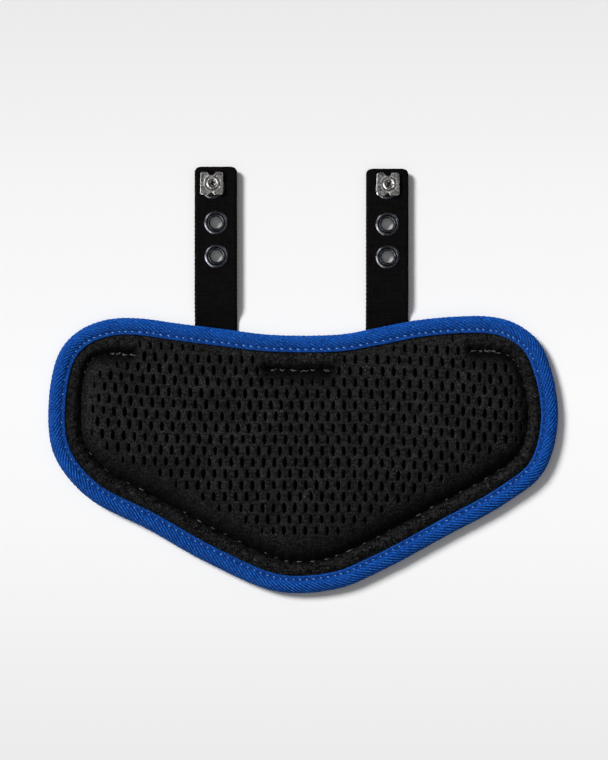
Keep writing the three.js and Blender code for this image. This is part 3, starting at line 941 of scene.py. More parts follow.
def build_border():
    s = np.arange(ROLL_COLUMNS) * RIM_LENGTH / ROLL_COLUMNS
    left, right, low, top = facing(s)
    inner = field_inset(s) + ROLL_OVERLAP
    outer = np.full_like(s, BINDING_WIDTH - ROLL_TUCK)
    sewn = 1 - looseness(s)
    fold = ROLL_FOLD + TOP_FOLD_MORE * top
    depth = (ROLL_DEPTH - SIDE_FOLD_FAINT * (left + right) ** 2) * sewn
    rows, fold_shade = [], []
    for share in ROLL_SHARES:
        inset = inner + (outer - inner) * share
        flat = place_at(s, inset)
        rumple = bumpy(*flat.T, size=4.2, seed=21) * 0.34 + bumpy(*flat.T, size=2.0, seed=22) * 0.2
        height = face_height(s, inset) + rumple * sewn * math.sin(math.pi * min(share + 0.12, 1))
        rows.append(np.column_stack([flat, np.where(inset < BINDING_WIDTH, RIM_TOP, height)]))
        # Painted shade in the fold along the crease and where the roll tucks under the binding.
        fold_shade.append(bell(share, fold) * depth + bell(1 - share, ROLL_EDGE_FOLD) * ROLL_EDGE_DEPTH)
    for share in ROLL_SHARES[::-1][:: len(ROLL_SHARES) // 2 - 1]:
        rows.append(lowered(rows[ROLL_SHARES.index(share)], ROLL_THICKNESS))
        fold_shade.append(np.zeros_like(s))
    shaded = by_column([np.minimum(row + ROLL_LEFT_SHADE * left, 1) for row in fold_shade])
    # The roll gets painted rumple shade and painted glints, most along the low edge.
    wear_and_painted_light = ROLL_RUMPLE_SHADE_LEAST + (1 - ROLL_RUMPLE_SHADE_LEAST) * low
    marks = np.column_stack([shaded, np.repeat(wear_and_painted_light, len(rows))])
    return by_column(rows), sweep_faces(ROLL_COLUMNS, len(rows)), marks


roll_points, roll_faces, roll_marks = build_border()
face_marks = np.concatenate([net_marks, roll_marks])
shifted = [tuple(k + len(net_points) for k in face) for face in roll_faces]
# The knit carries painted fold shade, and painted rumple shade with painted glints.
face_piece = make_piece(
    "mesh_face_knit",
    np.concatenate([net_points, roll_points]),
    net_faces + shifted,
    mesh_cloth,
    {"fold_shade": face_marks[:, 0], "wear_and_painted_light": face_marks[:, 1]},
)
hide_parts("mesh_face")

# %% [markdown]
# Under the mesh lies the padded body, black foam in a plain cover. Its upper side follows the underside of
# the mesh, so the holes look down on it, and it is painted near-black as the shade down the holes. Its back
# lies flat on the table inside the seam and curves up to the rim outside it. The two straps are sewn onto
# the back, and the padding gives way above them, so the cover is raised over each strap by the strap's own
# thickness.

# %% Padded body
BODY_COLUMNS = 420
BODY_GAP = 0.3
BODY_RIM_INSET = 3.0
BODY_RIM_TOP = 4.9
BODY_RIM_LOW = 3.7
SPINE_REACH = 0.3
SPINE_LEAN = 0.72
STRAP_ROOM = 2.2
STRAP_FLANK = 2.0
BACK_CREASE = 1.0
BACK_CREASE_WIDTH = 1.8
SPINE_DROP = 8
SPINE_BOW = 24
TOP_SHARES = (0.02, 0.05, 0.09, 0.13, 0.17, 0.21, 0.25, 0.3, 0.36, 0.43, 0.52, 0.62, 0.74, 0.88)
BACK_SHARES = (0.9, 0.75, 0.6, 0.48, 0.38, 0.3, 0.25, 0.22, 0.19, 0.16, 0.13, 0.1, 0.07, 0.04)


def spine_points(s):
    """Where each station's line across the plate ends, on a line along the plate's middle."""
    flat = at_rim(rim_line, s)
    reach = SPINE_REACH * PLATE_WIDTH
    x = np.clip(flat[:, 0] * SPINE_LEAN, -reach, reach)
    bow = (np.abs(x) / reach) ** 1.5
    return np.column_stack([x, MESH_MIDDLE[1] - SPINE_DROP + SPINE_BOW * bow])


def strap_cover(points):
    """How far a strap below lifts the back cover at each point."""
    lift = np.zeros(len(points))
    for side in ("left", "right"):
        low, high, _ = box_of(f"strap_{side}")
        away = np.maximum(low[:2] - points, points - high[:2]).max(1)
        lift = np.maximum(lift, STRAP_ROOM * smooth_share(1 - (away - BODY_GAP) / STRAP_FLANK))
    return lift


def back_height(points, s, inset):
    seam = seam_inset(s)
    outside = np.clip((seam - inset) / (seam - BINDING_WIDTH), 0, 1)
    rise = BODY_RIM_LOW * smooth_share(outside) ** 0.9
    crease = BACK_CREASE * bell(inset - seam, BACK_CREASE_WIDTH)
    uneven = np.abs(bumpy(*points.T, size=14, seed=31)) * 0.12
    return np.maximum(np.maximum(rise, crease) + uneven, strap_cover(points))


def build_body():
    """The body's points and faces, and the ends of its rows of points on the top and on the back."""
    s = np.arange(BODY_COLUMNS) * RIM_LENGTH / BODY_COLUMNS
    rim_flat = place_at(s, BODY_RIM_INSET)
    spine = spine_points(s)
    rings = []
    for share in TOP_SHARES[::-1]:
        flat = rim_flat + (spine - rim_flat) * share
        near, inset = nearest_rim(flat)
        height = cloth_top(flat, near, inset) - cloth_thickness(near, inset) - BODY_GAP - 0.4
        held = inset < BINDING_WIDTH
        rings.append(np.column_stack([flat, np.where(held, BODY_RIM_TOP, height)]))
    for height in (BODY_RIM_TOP, BODY_RIM_LOW):
        rings.append(np.column_stack([rim_flat, np.full(len(s), height)]))
    for share in BACK_SHARES[::-1]:
        flat = rim_flat + (spine - rim_flat) * share
        rings.append(np.column_stack([flat, back_height(flat, *nearest_rim(flat))]))
    faces = sweep_faces(BODY_COLUMNS, len(rings), close_rows=False)
    first = [c * len(rings) for c in range(BODY_COLUMNS)]
    last = [c * len(rings) + len(rings) - 1 for c in range(BODY_COLUMNS)]
    return by_column(rings), [tuple(reversed(f)) for f in faces], first, last


def filled(loop, upwards):
    """Faces that fill a ring of points from one to the other side, by matching opposite points."""
    count = len(loop)
    faces = []
    for k in range(count // 2 - 1):
        a, b, c, d = loop[k], loop[k + 1], loop[count - 2 - k], loop[count - 1 - k]
        faces.append((a, b, c, d) if upwards else (d, c, b, a))
    return faces


body_points, body_faces, body_first, body_last = build_body()
body_faces += filled(body_first, True) + filled(body_last, False)
body_rows = len(body_points) // BODY_COLUMNS
# The upper rows, seen down the holes, get painted shade.
under_mesh_shade = (np.arange(len(body_points)) % body_rows <= len(TOP_SHARES)).astype(float)
body_piece = make_piece("padded_body", body_points, body_faces, back_cover, {"under_mesh_shade": under_mesh_shade})
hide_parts("pad_body")

# %% [markdown]
# The binding is a strip of royal blue twill folded over the rim. What one sees is its steep diagonal
# ribs, so they are real relief and not only colour. The strip is swept round the outline, but each line
# of points across it is slanted the way the ribs run, so a rib is simply every sixth line. The cut
# through the strip is a flat stitched lip, a groove where the thread pulls it down, a round crown, and
# the fold round to the back.

# %% Blue twill
BLUE_RIB = (0.0042, 0.076, 0.370)
BLUE_FURROW = (0.0006, 0.009, 0.070)
BLUE_WORN = (0.0090, 0.092, 0.400)
BLUE_CREST_HIGHLIGHT = (0.0170, 0.168, 0.630)
BLUE_GROOVE_SHADE = (0.0007, 0.010, 0.078)


def make_twill():
    material, shader = new_material("blue_twill", roughness=0.72, specular=0.06)
    shader.inputs["Sheen Weight"].default_value = 0.03
    shader.inputs["Sheen Roughness"].default_value = 0.5
    shader.inputs["Sheen Tint"].default_value = (0.35, 0.55, 1.0, 1.0)
    grain = noise(material, 1050, 1.5)
    uneven = noise(material, 160, 2.0)
    fuzz = between(material, grain, -1.0, 1.0, 0.3, 0.7)
    height = arithmetic(material, "ADD", attribute(material, "rib"), fuzz)
    # The rib tone is painted light: dark furrows as painted shade and pale crests as a painted highlight.
    tone = mixed(material, between(material, height, 0, 1, -1.15, 0.95), BLUE_FURROW, BLUE_RIB)
    highlighted = mixed(material, between(material, height, 0, 1, 0.75, 1.6), tone, BLUE_CREST_HIGHLIGHT)
    wear_and_painted_light = mixed(material, between(material, uneven, 0, 0.22, 0.35, 0.7), highlighted, BLUE_WORN)
    # Painted shade darkens the stitch groove and the inside channel.
    colour(material, shader, mixed(material, attribute(material, "groove_shade"), wear_and_painted_light, BLUE_GROOVE_SHADE))
    raise_bump(material, shader, grain, 0.22, 0.7)
    return material


blue_twill = make_twill()
print("twill:", blue_twill.name)

# %% [markdown]
# The ribs are about 3 mm apart along the edge. In the photograph they stand out where the twill turns away
# from the light and nearly vanish where it faces the light, so each rib's tone follows the way that its side
# of the plate faces: painted shade in the furrows and a painted highlight on the crests. The thread goes
# down between two stitches, so the lip dips, and painted shade darkens its furrow most there. The inside of
# the fold is a plain shallow channel that holds the pad's rim, painted half dark as shade.

# %% Binding
RIB_PITCH = 3.03
RIB_LINES = 6
RIB_SLANT = 1.54
RIB_DEPTH = 0.27
RIB_SHADE_FULL = 0.5
RIB_SHADE_LEAST = 0.34
RIB_SHADE_MOST = 1.15
RIB_SHADE_LOW = 1.1
RIB_LEFT_FAINT = 0.45
RIB_RIGHT_FAINT = 0.3
RIB_NARROW = 0.32
RIB_NARROW_FROM = 0.6
RIB_UNEVEN = (0.75, 1.15)
RIB_LIP_SHARE = 0.2
RIB_BACK_SHARE = 0.8
LIP_END = 9.2
LIP_RAMP = 3.0
LIP_UNEVEN = 0.18
LIP_UNEVEN_FROM = 9
FACE_FROM = 5
STITCH_PITCH = 4.5
STITCH_INSET = 8.1
STITCH_PULL = 0.13
STITCH_PULL_WIDTH = 1.3
GROOVE_TONE = 0.58
GROOVE_TONE_SWING = 0.42
GROOVE_TONE_WIDTH = 0.75
INSIDE_SHADE = 0.5
PROFILE_STEP = 0.95
BINDING_CUT = [
    (10.2, 6.8), (10.28, 7.5), (9.9, 7.95), (9.2, 8.02), (8.65, 7.85), (8.15, 7.45), (7.6, 7.85),
    (6.6, 8.45), (5.2, 8.75), (3.8, 8.75), (2.4, 8.4), (1.2, 7.6), (0.35, 6.5), (0.0, 5.16),
    (0.2, 3.9), (0.8, 2.9), (2.0, 2.3), (3.6, 2.2), (6.0, 2.2), (8.2, 2.2), (10.0, 2.25), (10.2, 2.8),
]
BINDING_INSIDE = [
    (10.0, 3.35), (6.0, 3.35), (3.0, 3.4), (1.5, 4.2), (1.3, 5.1), (1.7, 6.0), (3.2, 6.72), (7.0, 6.72),
]


def resampled(cut, step):
    """Points of a smooth open curve through a cut, about a step apart."""
    cut = np.array(cut)
    padded = np.concatenate([2 * cut[:1] - cut[1:2], cut, 2 * cut[-1:] - cut[-2:-1]])
    fine = []
    t = np.linspace(0, 1, 12, endpoint=False)[:, None]
    for k in range(len(cut) - 1):
        fine.append(catmull(*padded[k : k + 4], t))
    fine = np.concatenate(fine + [cut[-1:]])
    length = np.concatenate([[0], np.cumsum(np.linalg.norm(np.diff(fine, axis=0), axis=1))])
    at = np.linspace(0, length[-1], int(length[-1] / step) + 1)
    return np.column_stack([np.interp(at, length, fine[:, k]) for k in (0, 1)]), at


def rib_shade(s, lean):
    """How strongly the ribs show: least where the twill faces the key, most where it turns away."""
    key = Vector(KEY_FROM).normalized()
    inward = at_rim(rim_inward, s)
    away = -lean * (inward[:, 0] * key.x + inward[:, 1] * key.y)
    share = smooth_share(0.5 + away / (2 * RIB_SHADE_FULL))
    low = np.clip(inward[:, 1], 0, 1) * RIB_SHADE_LOW * share
    shade = RIB_SHADE_LEAST + (RIB_SHADE_MOST - RIB_SHADE_LEAST) * share + low
    faint = np.where(inward[:, 0] > 0, RIB_LEFT_FAINT, RIB_RIGHT_FAINT)
    return shade * (1 - faint * inward[:, 0] ** 2)


def build_binding():
    outside, outside_at = resampled(BINDING_CUT, PROFILE_STEP)
    tangent = np.gradient(outside, axis=0)
    tangent /= np.linalg.norm(tangent, axis=1)[:, None]
    normal = np.column_stack([tangent[:, 1], -tangent[:, 0]])
    ribs = round(RIM_LENGTH / RIB_PITCH)
    columns = ribs * RIB_LINES
    s_start = np.arange(columns) * RIM_LENGTH / columns
    wave = np.cos(2 * math.pi * (np.arange(columns) % RIB_LINES) / RIB_LINES)
    rng = np.random.default_rng(41)
    strength = np.repeat(rng.uniform(*RIB_UNEVEN, ribs), RIB_LINES)
    rows, ribbed, grooved = [], [], []
    for k, (inset, height) in enumerate(outside):
        s = s_start + RIB_SLANT * outside_at[k]
        on_face = height > FACE_FROM
        past_lip = smooth_share((LIP_END - inset) / LIP_RAMP)
        rib = wave * strength
        rib = rib * (RIB_LIP_SHARE + (1 - RIB_LIP_SHARE) * past_lip if on_face else RIB_BACK_SHARE)
        stitched = np.cos(2 * math.pi * s / STITCH_PITCH)
        pull = STITCH_PULL * stitched * bell(inset - STITCH_INSET, STITCH_PULL_WIDTH)
        lift = (rib * RIB_DEPTH + pull * on_face)[:, None]
        cut = np.array([inset, height]) + normal[k] * lift
        uneven = bumpy(s, 0.0, size=26, seed=42) * LIP_UNEVEN
        flat = place_at(s, cut[:, 0] + uneven * (inset > LIP_UNEVEN_FROM))
        rows.append(np.column_stack([flat, cut[:, 1]]))
        shade = rib_shade(s, normal[k][0])
        ribbed.append(rib * shade - RIB_NARROW * np.maximum(shade - RIB_NARROW_FROM, 0))
        # Painted shade in the stitch groove, darkest between stitches where the thread pulls the lip down.
        groove_shade = bell(inset - STITCH_INSET, GROOVE_TONE_WIDTH) * on_face
        grooved.append(groove_shade * (GROOVE_TONE - GROOVE_TONE_SWING * stitched))
    back = RIB_SLANT * outside_at[-1]
    for k, (inset, height) in enumerate(BINDING_INSIDE):
        s = s_start + back * (1 - (k + 1) / (len(BINDING_INSIDE) + 1))
        rows.append(np.column_stack([place_at(s, inset), np.full(columns, height)]))
        ribbed.append(np.zeros(columns))
        # The inside channel is painted half dark as shade.
        grooved.append(np.full(columns, INSIDE_SHADE))
    print("ribs:", ribs)
    values = {"rib": by_column(ribbed), "groove_shade": by_column(grooved)}
    return by_column(rows), sweep_faces(columns, len(rows)), values


binding_points, binding_faces, binding_values = build_binding()
binding_piece = make_piece(
    "twill_binding_ribbed", binding_points, binding_faces, blue_twill, binding_values
)
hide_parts("edge_binding")

# %% [markdown]
# Thread is what makes the seams read. A stitch on the surface is a short round-ended piece of thread
# that dips into the cloth at both ends. One helper bends a small capsule that way and sets any number of
# that dips into the cloth at both ends. One helper bends a small capsule that way and sets any number of
# copies along a line.

# %% Thread
THREAD_SIDES = 8
THREAD_RINGS = (-1.0, -0.9, -0.65, -0.25, 0.25, 0.65, 0.9, 1.0)
THREAD_BLUNT = 3.5
WELD_REACH = 0.01


def make_thread(name, pale, deep):
    material, shader = new_material(name, roughness=0.55, specular=0.35)
    twist = noise(material, 2600, 1.0)
    colour(material, shader, mixed(material, between(material, twist, 0, 1, 0.35, 0.65), deep, pale))
    raise_bump(material, shader, twist, 0.15, 0.6)
    return material


def turned(way, angle):
    """Level directions turned counter-clockwise by an angle, as directions in space."""
    x, y = way.T
    over = x * np.cos(angle) - y * np.sin(angle)
    return np.column_stack([over, y * np.cos(angle) + x * np.sin(angle), np.zeros(len(x))])


def stitches(name, middles, along, lengths, radius, dip, material, slot):
    """Bent capsules at the middles, each along its own direction."""
    turn = np.arange(THREAD_SIDES) * 2 * math.pi / THREAD_SIDES
    up = np.array([0, 0, 1.0])
    rings = []
    for middle, way, length in zip(middles, along, lengths):
        side = np.array([-way[1], way[0], 0.0])
        side /= np.linalg.norm(side)
        for share in THREAD_RINGS:
            size = radius * math.sqrt(max(1 - abs(share) ** THREAD_BLUNT, 0.0))
            core = middle + way * share * length / 2 - up * dip * share * share
            rings.append([core + side * math.cos(a) * size + up * math.sin(a) * size for a in turn])
    rings = np.array(rings).reshape(len(middles), len(THREAD_RINGS), THREAD_SIDES, 3)
    for end in (0, -1):
        rings[:, end] = rings[:, end].mean(1, keepdims=True)
    faces = []
    for base in range(0, rings[..., 0].size, THREAD_SIDES):
        if base // THREAD_SIDES % len(THREAD_RINGS) < len(THREAD_RINGS) - 1:
            for k in range(THREAD_SIDES):
                n = (k + 1) % THREAD_SIDES
                faces.append((base + k, base + n, base + THREAD_SIDES + n, base + THREAD_SIDES + k))
    piece = make_piece(name, rings.reshape(-1, 3), faces, material)
    weld = piece.modifiers.new("close_ends", "WELD")
    weld.merge_threshold = WELD_REACH * MM
    return piece


blue_thread = make_thread("light_blue_thread", (0.14, 0.34, 0.75), (0.040, 0.15, 0.48))
grey_thread = make_thread("grey_thread", (0.105, 0.105, 0.108), (0.030, 0.030, 0.031))
print("threads:", blue_thread.name, grey_thread.name)

# %% [markdown]
# The binding has small light blue stitches, a little longer along the top. The quilting has long grey
# ones, half sunk in their crease, and at the two ends most of them are hidden. Along the top the seam is
# sewn only in three short bars, each gone over several times, so those are a tangle of thinner strands.

# %% Stitches of the binding and the quilting
BINDING_STITCH = 1.55
BINDING_THREAD = 0.40
BINDING_DIP = 0.3
BINDING_STITCH_TURN = 22
BINDING_STITCH_LEAN = 8
TOP_STITCH_MORE = 0.35
STITCH_HEIGHT = 7.70
SIDE_SINK = 0.27
SIDE_SINK_UNEVEN = 0.12
QUILT_RADIUS = 0.34
QUILT_DIP = 0.55
QUILT_LIFT = 0.06
QUILT_HIDDEN = 0.65
QUILT_SLIDE = 0.5
SEAM_STEP = 1.5
STRAY = 0.15
BAR_PART = 0.86
BAR_CROWDING = 1.6
BAR_STRANDS = 4
BAR_SLIDE = 1.6
BAR_SPREAD = 0.5
BAR_RISE = 0.25
BAR_SHIFT = 0.9
BAR_TURN = 0.4
BAR_TILT = 0.057
BAR_TILT_MIDDLE = -124
BAR_START = -120
BAR_TILT_END = -80
BAR_THREAD = 3.6
BAR_RADIUS = 0.24
BAR_DIP = 0.35


def binding_stitches():
    count = round(RIM_LENGTH / STITCH_PITCH)
    rng = np.random.default_rng(51)
    s = (np.arange(count) + rng.uniform(-0.08, 0.08, count)) * RIM_LENGTH / count
    left, right, _, top = facing(s)
    flat = place_at(s, STITCH_INSET + rng.uniform(-STRAY, STRAY, count))
    turn = np.radians(BINDING_STITCH_TURN + rng.uniform(-BINDING_STITCH_LEAN, BINDING_STITCH_LEAN, count))
    along = turned(at_rim(rim_along, s), -turn)
    sink = SIDE_SINK + rng.uniform(0, SIDE_SINK_UNEVEN, count)
    middles = np.column_stack([flat, STITCH_HEIGHT - sink * (left + right) ** 2])
    lengths = rng.uniform(0.75, 1.15, count) * BINDING_STITCH * (1 + TOP_STITCH_MORE * top)
    form = (BINDING_THREAD, BINDING_DIP, blue_thread, "twill_binding")
    return stitches("binding_stitches", middles, along, lengths, *form)


def quilting_stitches():
    count = round(RIM_LENGTH / QUILT_PITCH)
    rng = np.random.default_rng(52)
    s = (np.arange(count) + 0.5) * RIM_LENGTH / count
    left, right, _, top = facing(s)
    sewn = (looseness(s) < 0.45) & (top < BAR_PART)
    s, sideways = s[sewn], (left + right)[sewn] ** 4
    s = s[rng.uniform(0, 1, len(s)) > QUILT_HIDDEN * sideways]
    s = s + rng.uniform(-QUILT_SLIDE, QUILT_SLIDE, len(s))
    inset = seam_inset(s) + rng.uniform(-STRAY, STRAY, len(s))
    flat = place_at(s, inset)
    middles = np.column_stack([flat, cloth_top(flat, s, inset) + QUILT_LIFT])
    before, after = (place_at(s + step, seam_inset(s + step)) for step in (-SEAM_STEP, SEAM_STEP))
    way = (after - before) / np.linalg.norm(after - before, axis=1)[:, None]
    lengths = rng.uniform(0.85, 1.15, len(s)) * QUILT_THREAD
    form = (QUILT_RADIUS, QUILT_DIP, grey_thread, "spacer_mesh")
    return stitches("quilting_stitches", middles, turned(way, 0), lengths, *form)


def bar_stitches():
    """The short seams along the top, sewn over several times with a tangle of strands."""
    count = round(RIM_LENGTH / QUILT_PITCH * BAR_CROWDING)
    rng = np.random.default_rng(53)
    s = (np.arange(count) + 0.5) * RIM_LENGTH / count
    s = s[(looseness(s) < 0.3) & (facing(s)[3] > BAR_PART)]
    s = s[at_rim(rim_line, s)[:, 0] > BAR_START]
    s = np.repeat(s, BAR_STRANDS) + rng.uniform(-BAR_SLIDE, BAR_SLIDE, len(s) * BAR_STRANDS)
    inset = seam_inset(s) + BAR_SHIFT + rng.uniform(-BAR_SPREAD, BAR_SPREAD, len(s))
    x = at_rim(rim_line, s)[:, 0]
    inset += np.where(x < BAR_TILT_END, BAR_TILT * (x - BAR_TILT_MIDDLE), 0)
    flat = place_at(s, inset)
    height = cloth_top(flat, s, inset) + QUILT_LIFT + rng.uniform(0, BAR_RISE, len(s))
    along = turned(at_rim(rim_along, s), rng.normal(0, BAR_TURN, len(s)))
    lengths = rng.uniform(0.4, 1.1, len(s)) * BAR_THREAD
    form = (BAR_RADIUS, BAR_DIP, grey_thread, "spacer_mesh")
    return stitches("bar_stitches", np.column_stack([flat, height]), along, lengths, *form)


binding_stitches()
quilting_stitches()
bar_stitches()

# %% [markdown]
# The straps are one inch polyester webbing: fine ribs across, a thicker woven edge, and a melted smooth
# zone at the cut end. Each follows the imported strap: flat on the table below the pad, then up to where
# the eyelets hold it off the table. The webbing is a grid of points along and across, with the ribs as
# real relief, and the three eyelet holes are cut with a boolean.

# %% Webbing
STRAP_THICKNESS = 1.9
STRAP_LIFT = 3.8
STRAP_STEP = 0.32
WEB_RIB = 1.28
WEB_DEPTH = 0.075
EDGE_TOOTH = 0.16
END_SMOOTH = 26
END_RAMP = 6
END_RIB_LEAST = 0.35
UNDER_RIB = 0.15
SELVEDGE_RISE = 0.10
STRAP_WAVE = 0.06
TABLE_GAP = 0.04
STRAP_CORNER = 3.4
BEND_LENGTH = 13
BEND_PAST_EDGE = 3
EYELET_CUT = 4.8
PUNCH_SIDES = 48
PUNCH_HEIGHTS = (-5, 20)
WEB_LIT = (0.0036, 0.0030, 0.0030)
WEB_DIM = (0.0013, 0.0010, 0.0010)


def make_webbing():
    material, shader = new_material("black_webbing", roughness=0.6, specular=0.03)
    ends = noise(material, 1500, 1.0, (1, 0.12, 1))
    picks = noise(material, 1300, 1.0, (0.1, 1, 1))
    weave = arithmetic(material, "ADD", ends, picks)
    share = between(material, weave, 0, 1, 0.75, 1.3)
    colour(material, shader, mixed(material, share, WEB_DIM, WEB_LIT))
    raise_bump(material, shader, weave, 0.22, 0.7)
    return material


def strap_section():
    """Points round a strap's cut: across as a share of half the width, up as a share of the thickness."""
    top = [(x, 1.0) for x in np.linspace(-0.93, 0.93, 24)]
    right = [(0.975, 0.88), (1.0, 0.62), (1.0, 0.38), (0.975, 0.12)]
    low = [(x, 0.0) for x in np.linspace(0.93, -0.93, 24)]
    left = [(-x, 1 - z) for x, z in right]
    return np.array(top + right + low + left)


def strap_under(y, edge):
    """Height of a strap's underside along the plate."""
    return STRAP_LIFT * smooth_share((y - edge - BEND_PAST_EDGE) / BEND_LENGTH)


def plate_edge_at(x):
    upper = rim_line[rim_inward[:, 1] < -0.5]
    order = np.argsort(upper[:, 0])
    return float(np.interp(x, upper[order, 0], upper[order, 1]))


def build_strap(side):
    low, high, middle = box_of(f"strap_{side}")
    end = high[1]
    y = np.arange(low[1], end, STRAP_STEP)
    y[-1] = end
    under = strap_under(y, plate_edge_at(middle[0]))
    section = strap_section()
    corner = np.clip((y - (end - STRAP_CORNER)) / STRAP_CORNER, 0, 1)
    width = high[0] - middle[0] - STRAP_CORNER * (1 - np.sqrt(np.maximum(1 - corner**2, 0)))
    rough = END_RIB_LEAST + (1 - END_RIB_LEAST) * smooth_share((end - y - END_SMOOTH) / END_RAMP)
    rib = np.cos(2 * math.pi * y / WEB_RIB) * WEB_DEPTH * rough
    tooth = np.maximum(np.cos(math.pi * y / WEB_RIB), 0) * EDGE_TOOTH * rough
    rows = []
    for across, up in section:
        at_edge, above = abs(across) > 0.95, up > 0.5
        x = middle[0] + across * (width + tooth * at_edge)
        selvedge = SELVEDGE_RISE * bell(abs(across) - 0.88, 0.06)
        relief = rib * (1 - at_edge) * (1 if above else -UNDER_RIB)
        wave = bumpy(y, across * 12, size=30, seed=61) * STRAP_WAVE * above
        z = under + TABLE_GAP + up * (STRAP_THICKNESS + selvedge) + relief + wave
        rows.append(np.column_stack([x, y, z]))
    faces = sweep_faces(len(y), len(section), close_columns=False)
    first = tuple(range(len(section)))[::-1]
    last = tuple((len(y) - 1) * len(section) + k for k in range(len(section)))
    return by_column(rows), faces + [first, last]


def punch(piece, side):
    """Cuts the three eyelet holes."""
    points, faces = [], []
    sides = PUNCH_SIDES
    turn = np.arange(sides) * 2 * math.pi / sides
    for number in (1, 2, 3):
        x, y, _ = box_of(f"eyelet_{side}_{number}")[2]
        base = len(points)
        for z in PUNCH_HEIGHTS:
            points += [(x + EYELET_CUT * math.cos(a), y + EYELET_CUT * math.sin(a), z) for a in turn]
        for k in range(sides):
            n = (k + 1) % sides
            faces.append((base + k, base + n, base + sides + n, base + sides + k))
        faces += [tuple(base + k for k in range(sides))[::-1], tuple(base + sides + k for k in range(sides))]
    mesh = bpy.data.meshes.new("punch")
    mesh.from_pydata((np.array(points) * MM).tolist(), [], faces)
    cutter = add_object("punch", mesh)
    cut = piece.modifiers.new("eyelet_holes", "BOOLEAN")
    cut.operation = "DIFFERENCE"
    cut.solver = "EXACT"
    cut.object = cutter
    graph = bpy.context.evaluated_depsgraph_get()
    piece.data = bpy.data.meshes.new_from_object(piece.evaluated_get(graph))
    piece.modifiers.clear()
    bpy.data.objects.remove(cutter)
    print(piece.name, "punched:", len(piece.data.polygons), "faces")


webbing = make_webbing()
for side in ("left", "right"):
    strap_points, strap_faces = build_strap(side)
    strap = make_piece(f"webbing_{side}", strap_points, strap_faces, webbing)
    punch(strap, side)
    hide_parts(f"strap_{side}")

# %% [markdown]
# The metal parts are turned or stamped, so rings of points are the natural way: a ring's radius and
# height say where its points lie, and faces join one ring to the next.

# %% Rings of points
RING_SIDES = 96
ring_turn = np.arange(RING_SIDES) * 2 * math.pi / RING_SIDES


def ring_points(middle, radius, height):
    """One ring; radius and height may differ from point to point."""
    x = middle[0] + radius * np.cos(ring_turn)
    y = middle[1] + radius * np.sin(ring_turn)
    return np.column_stack([x, y, np.broadcast_to(height, x.shape)])


def ring_stack(rings, closed):
    """Points and faces of rings joined in order, or closed by a flat face at both ends."""
    faces = sweep_faces(RING_SIDES, len(rings), close_rows=closed)
    if not closed:
        faces.append(tuple(c * len(rings) for c in range(RING_SIDES))[::-1])
        faces.append(tuple(c * len(rings) + len(rings) - 1 for c in range(RING_SIDES)))
    return by_column(rings), faces


# Painted shade for the metal's grooves, recesses, holes and edges.
METAL_SHADE = (0.009, 0.008, 0.008)


def make_metal(name, tone, dark, roughness, scratch):
    material, shader = new_material(name, roughness, metallic=1.0)
    cloudy = noise(material, 620, 4.0)
    plated = mixed(material, between(material, cloudy, 0, 1, 0.36, 0.64), dark, tone)
    # Painted shade darkens the plating by the values each piece stores.
    colour(material, shader, mixed(material, attribute(material, "painted_metal_shade"), plated, METAL_SHADE))
    fine = noise(material, 1800, 2.0, (1, 0.25, 1), 0.6)
    wear_and_painted_light = between(material, fine, roughness - 0.06, roughness + 0.1, 0.3, 0.7)
    material.node_tree.links.new(wear_and_painted_light, shader.inputs["Roughness"])
    raise_bump(material, shader, fine, scratch, 0.5)
    return material


gunmetal = make_metal("gunmetal_plating", (0.086, 0.091, 0.104), (0.034, 0.036, 0.042), 0.24, 0.03)
nickel = make_metal("nickel_plating", (0.64, 0.63, 0.62), (0.13, 0.125, 0.12), 0.29, 0.12)
print("metals:", gunmetal.name, nickel.name)

# %% [markdown]
# An eyelet is a short barrel whose rims are rolled out over both faces of the webbing. It could be a tube
# with two thick rings on it, but one cut turned about the middle gives the roll, its groove and the inner
# lip at once. The groove is painted dark as shade.

# %% Eyelets
GROOVE_RADIUS = 5.1
GROOVE_WIDTH = 0.42
GROOVE_SHADE = 0.95
SEAT_GAP = 0.12
EYELET_CUT_SHAPE = [
    (5.1, 0.0), (6.0, 0.0), (6.8, 0.0), (7.2, 0.03), (7.34, 0.14), (7.25, 0.3), (6.9, 0.47),
    (6.5, 0.64), (6.1, 0.8), (5.85, 0.84), (5.65, 0.72), (5.5, 0.42), (5.35, 0.2), (5.15, 0.34), (5.0, 0.66),
    (4.8, 0.8), (4.5, 0.86), (4.2, 0.72), (3.95, 0.42), (3.75, 0.0), (3.62, -0.4), (3.56, -0.9),
]


def build_eyelet(side, number):
    middle = box_of(f"eyelet_{side}_{number}")[2]
    seat = STRAP_THICKNESS / 2 + SEAT_GAP
    upper = [(r, seat + h) for r, h in EYELET_CUT_SHAPE]
    shape = upper + [(r, -h) for r, h in upper[::-1]]
    points, faces = ring_stack([ring_points(middle, r, middle[2] + h) for r, h in shape], True)
    # Painted shade in the groove between the roll and the inner lip.
    shade_values = [np.full(RING_SIDES, GROOVE_SHADE * bell(r - GROOVE_RADIUS, GROOVE_WIDTH)) for r, _ in shape]
    values = {"painted_metal_shade": by_column(shade_values)}
    eyelet = make_piece(f"rolled_eyelet_{side}_{number}", points, faces, gunmetal, values)
    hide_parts(f"eyelet_{side}_{number}")


for side in ("left", "right"):
    for number in (1, 2, 3):
        build_eyelet(side, number)

# %% [markdown]
# The nut plate is stamped from sheet: a square with round corners, a notch in its top edge, a small bite
# in its lower edge and a raised ring round the screw hole. Seen from the hole every point of its edge is
# in plain view, so rings out from the hole can end on the edge itself.

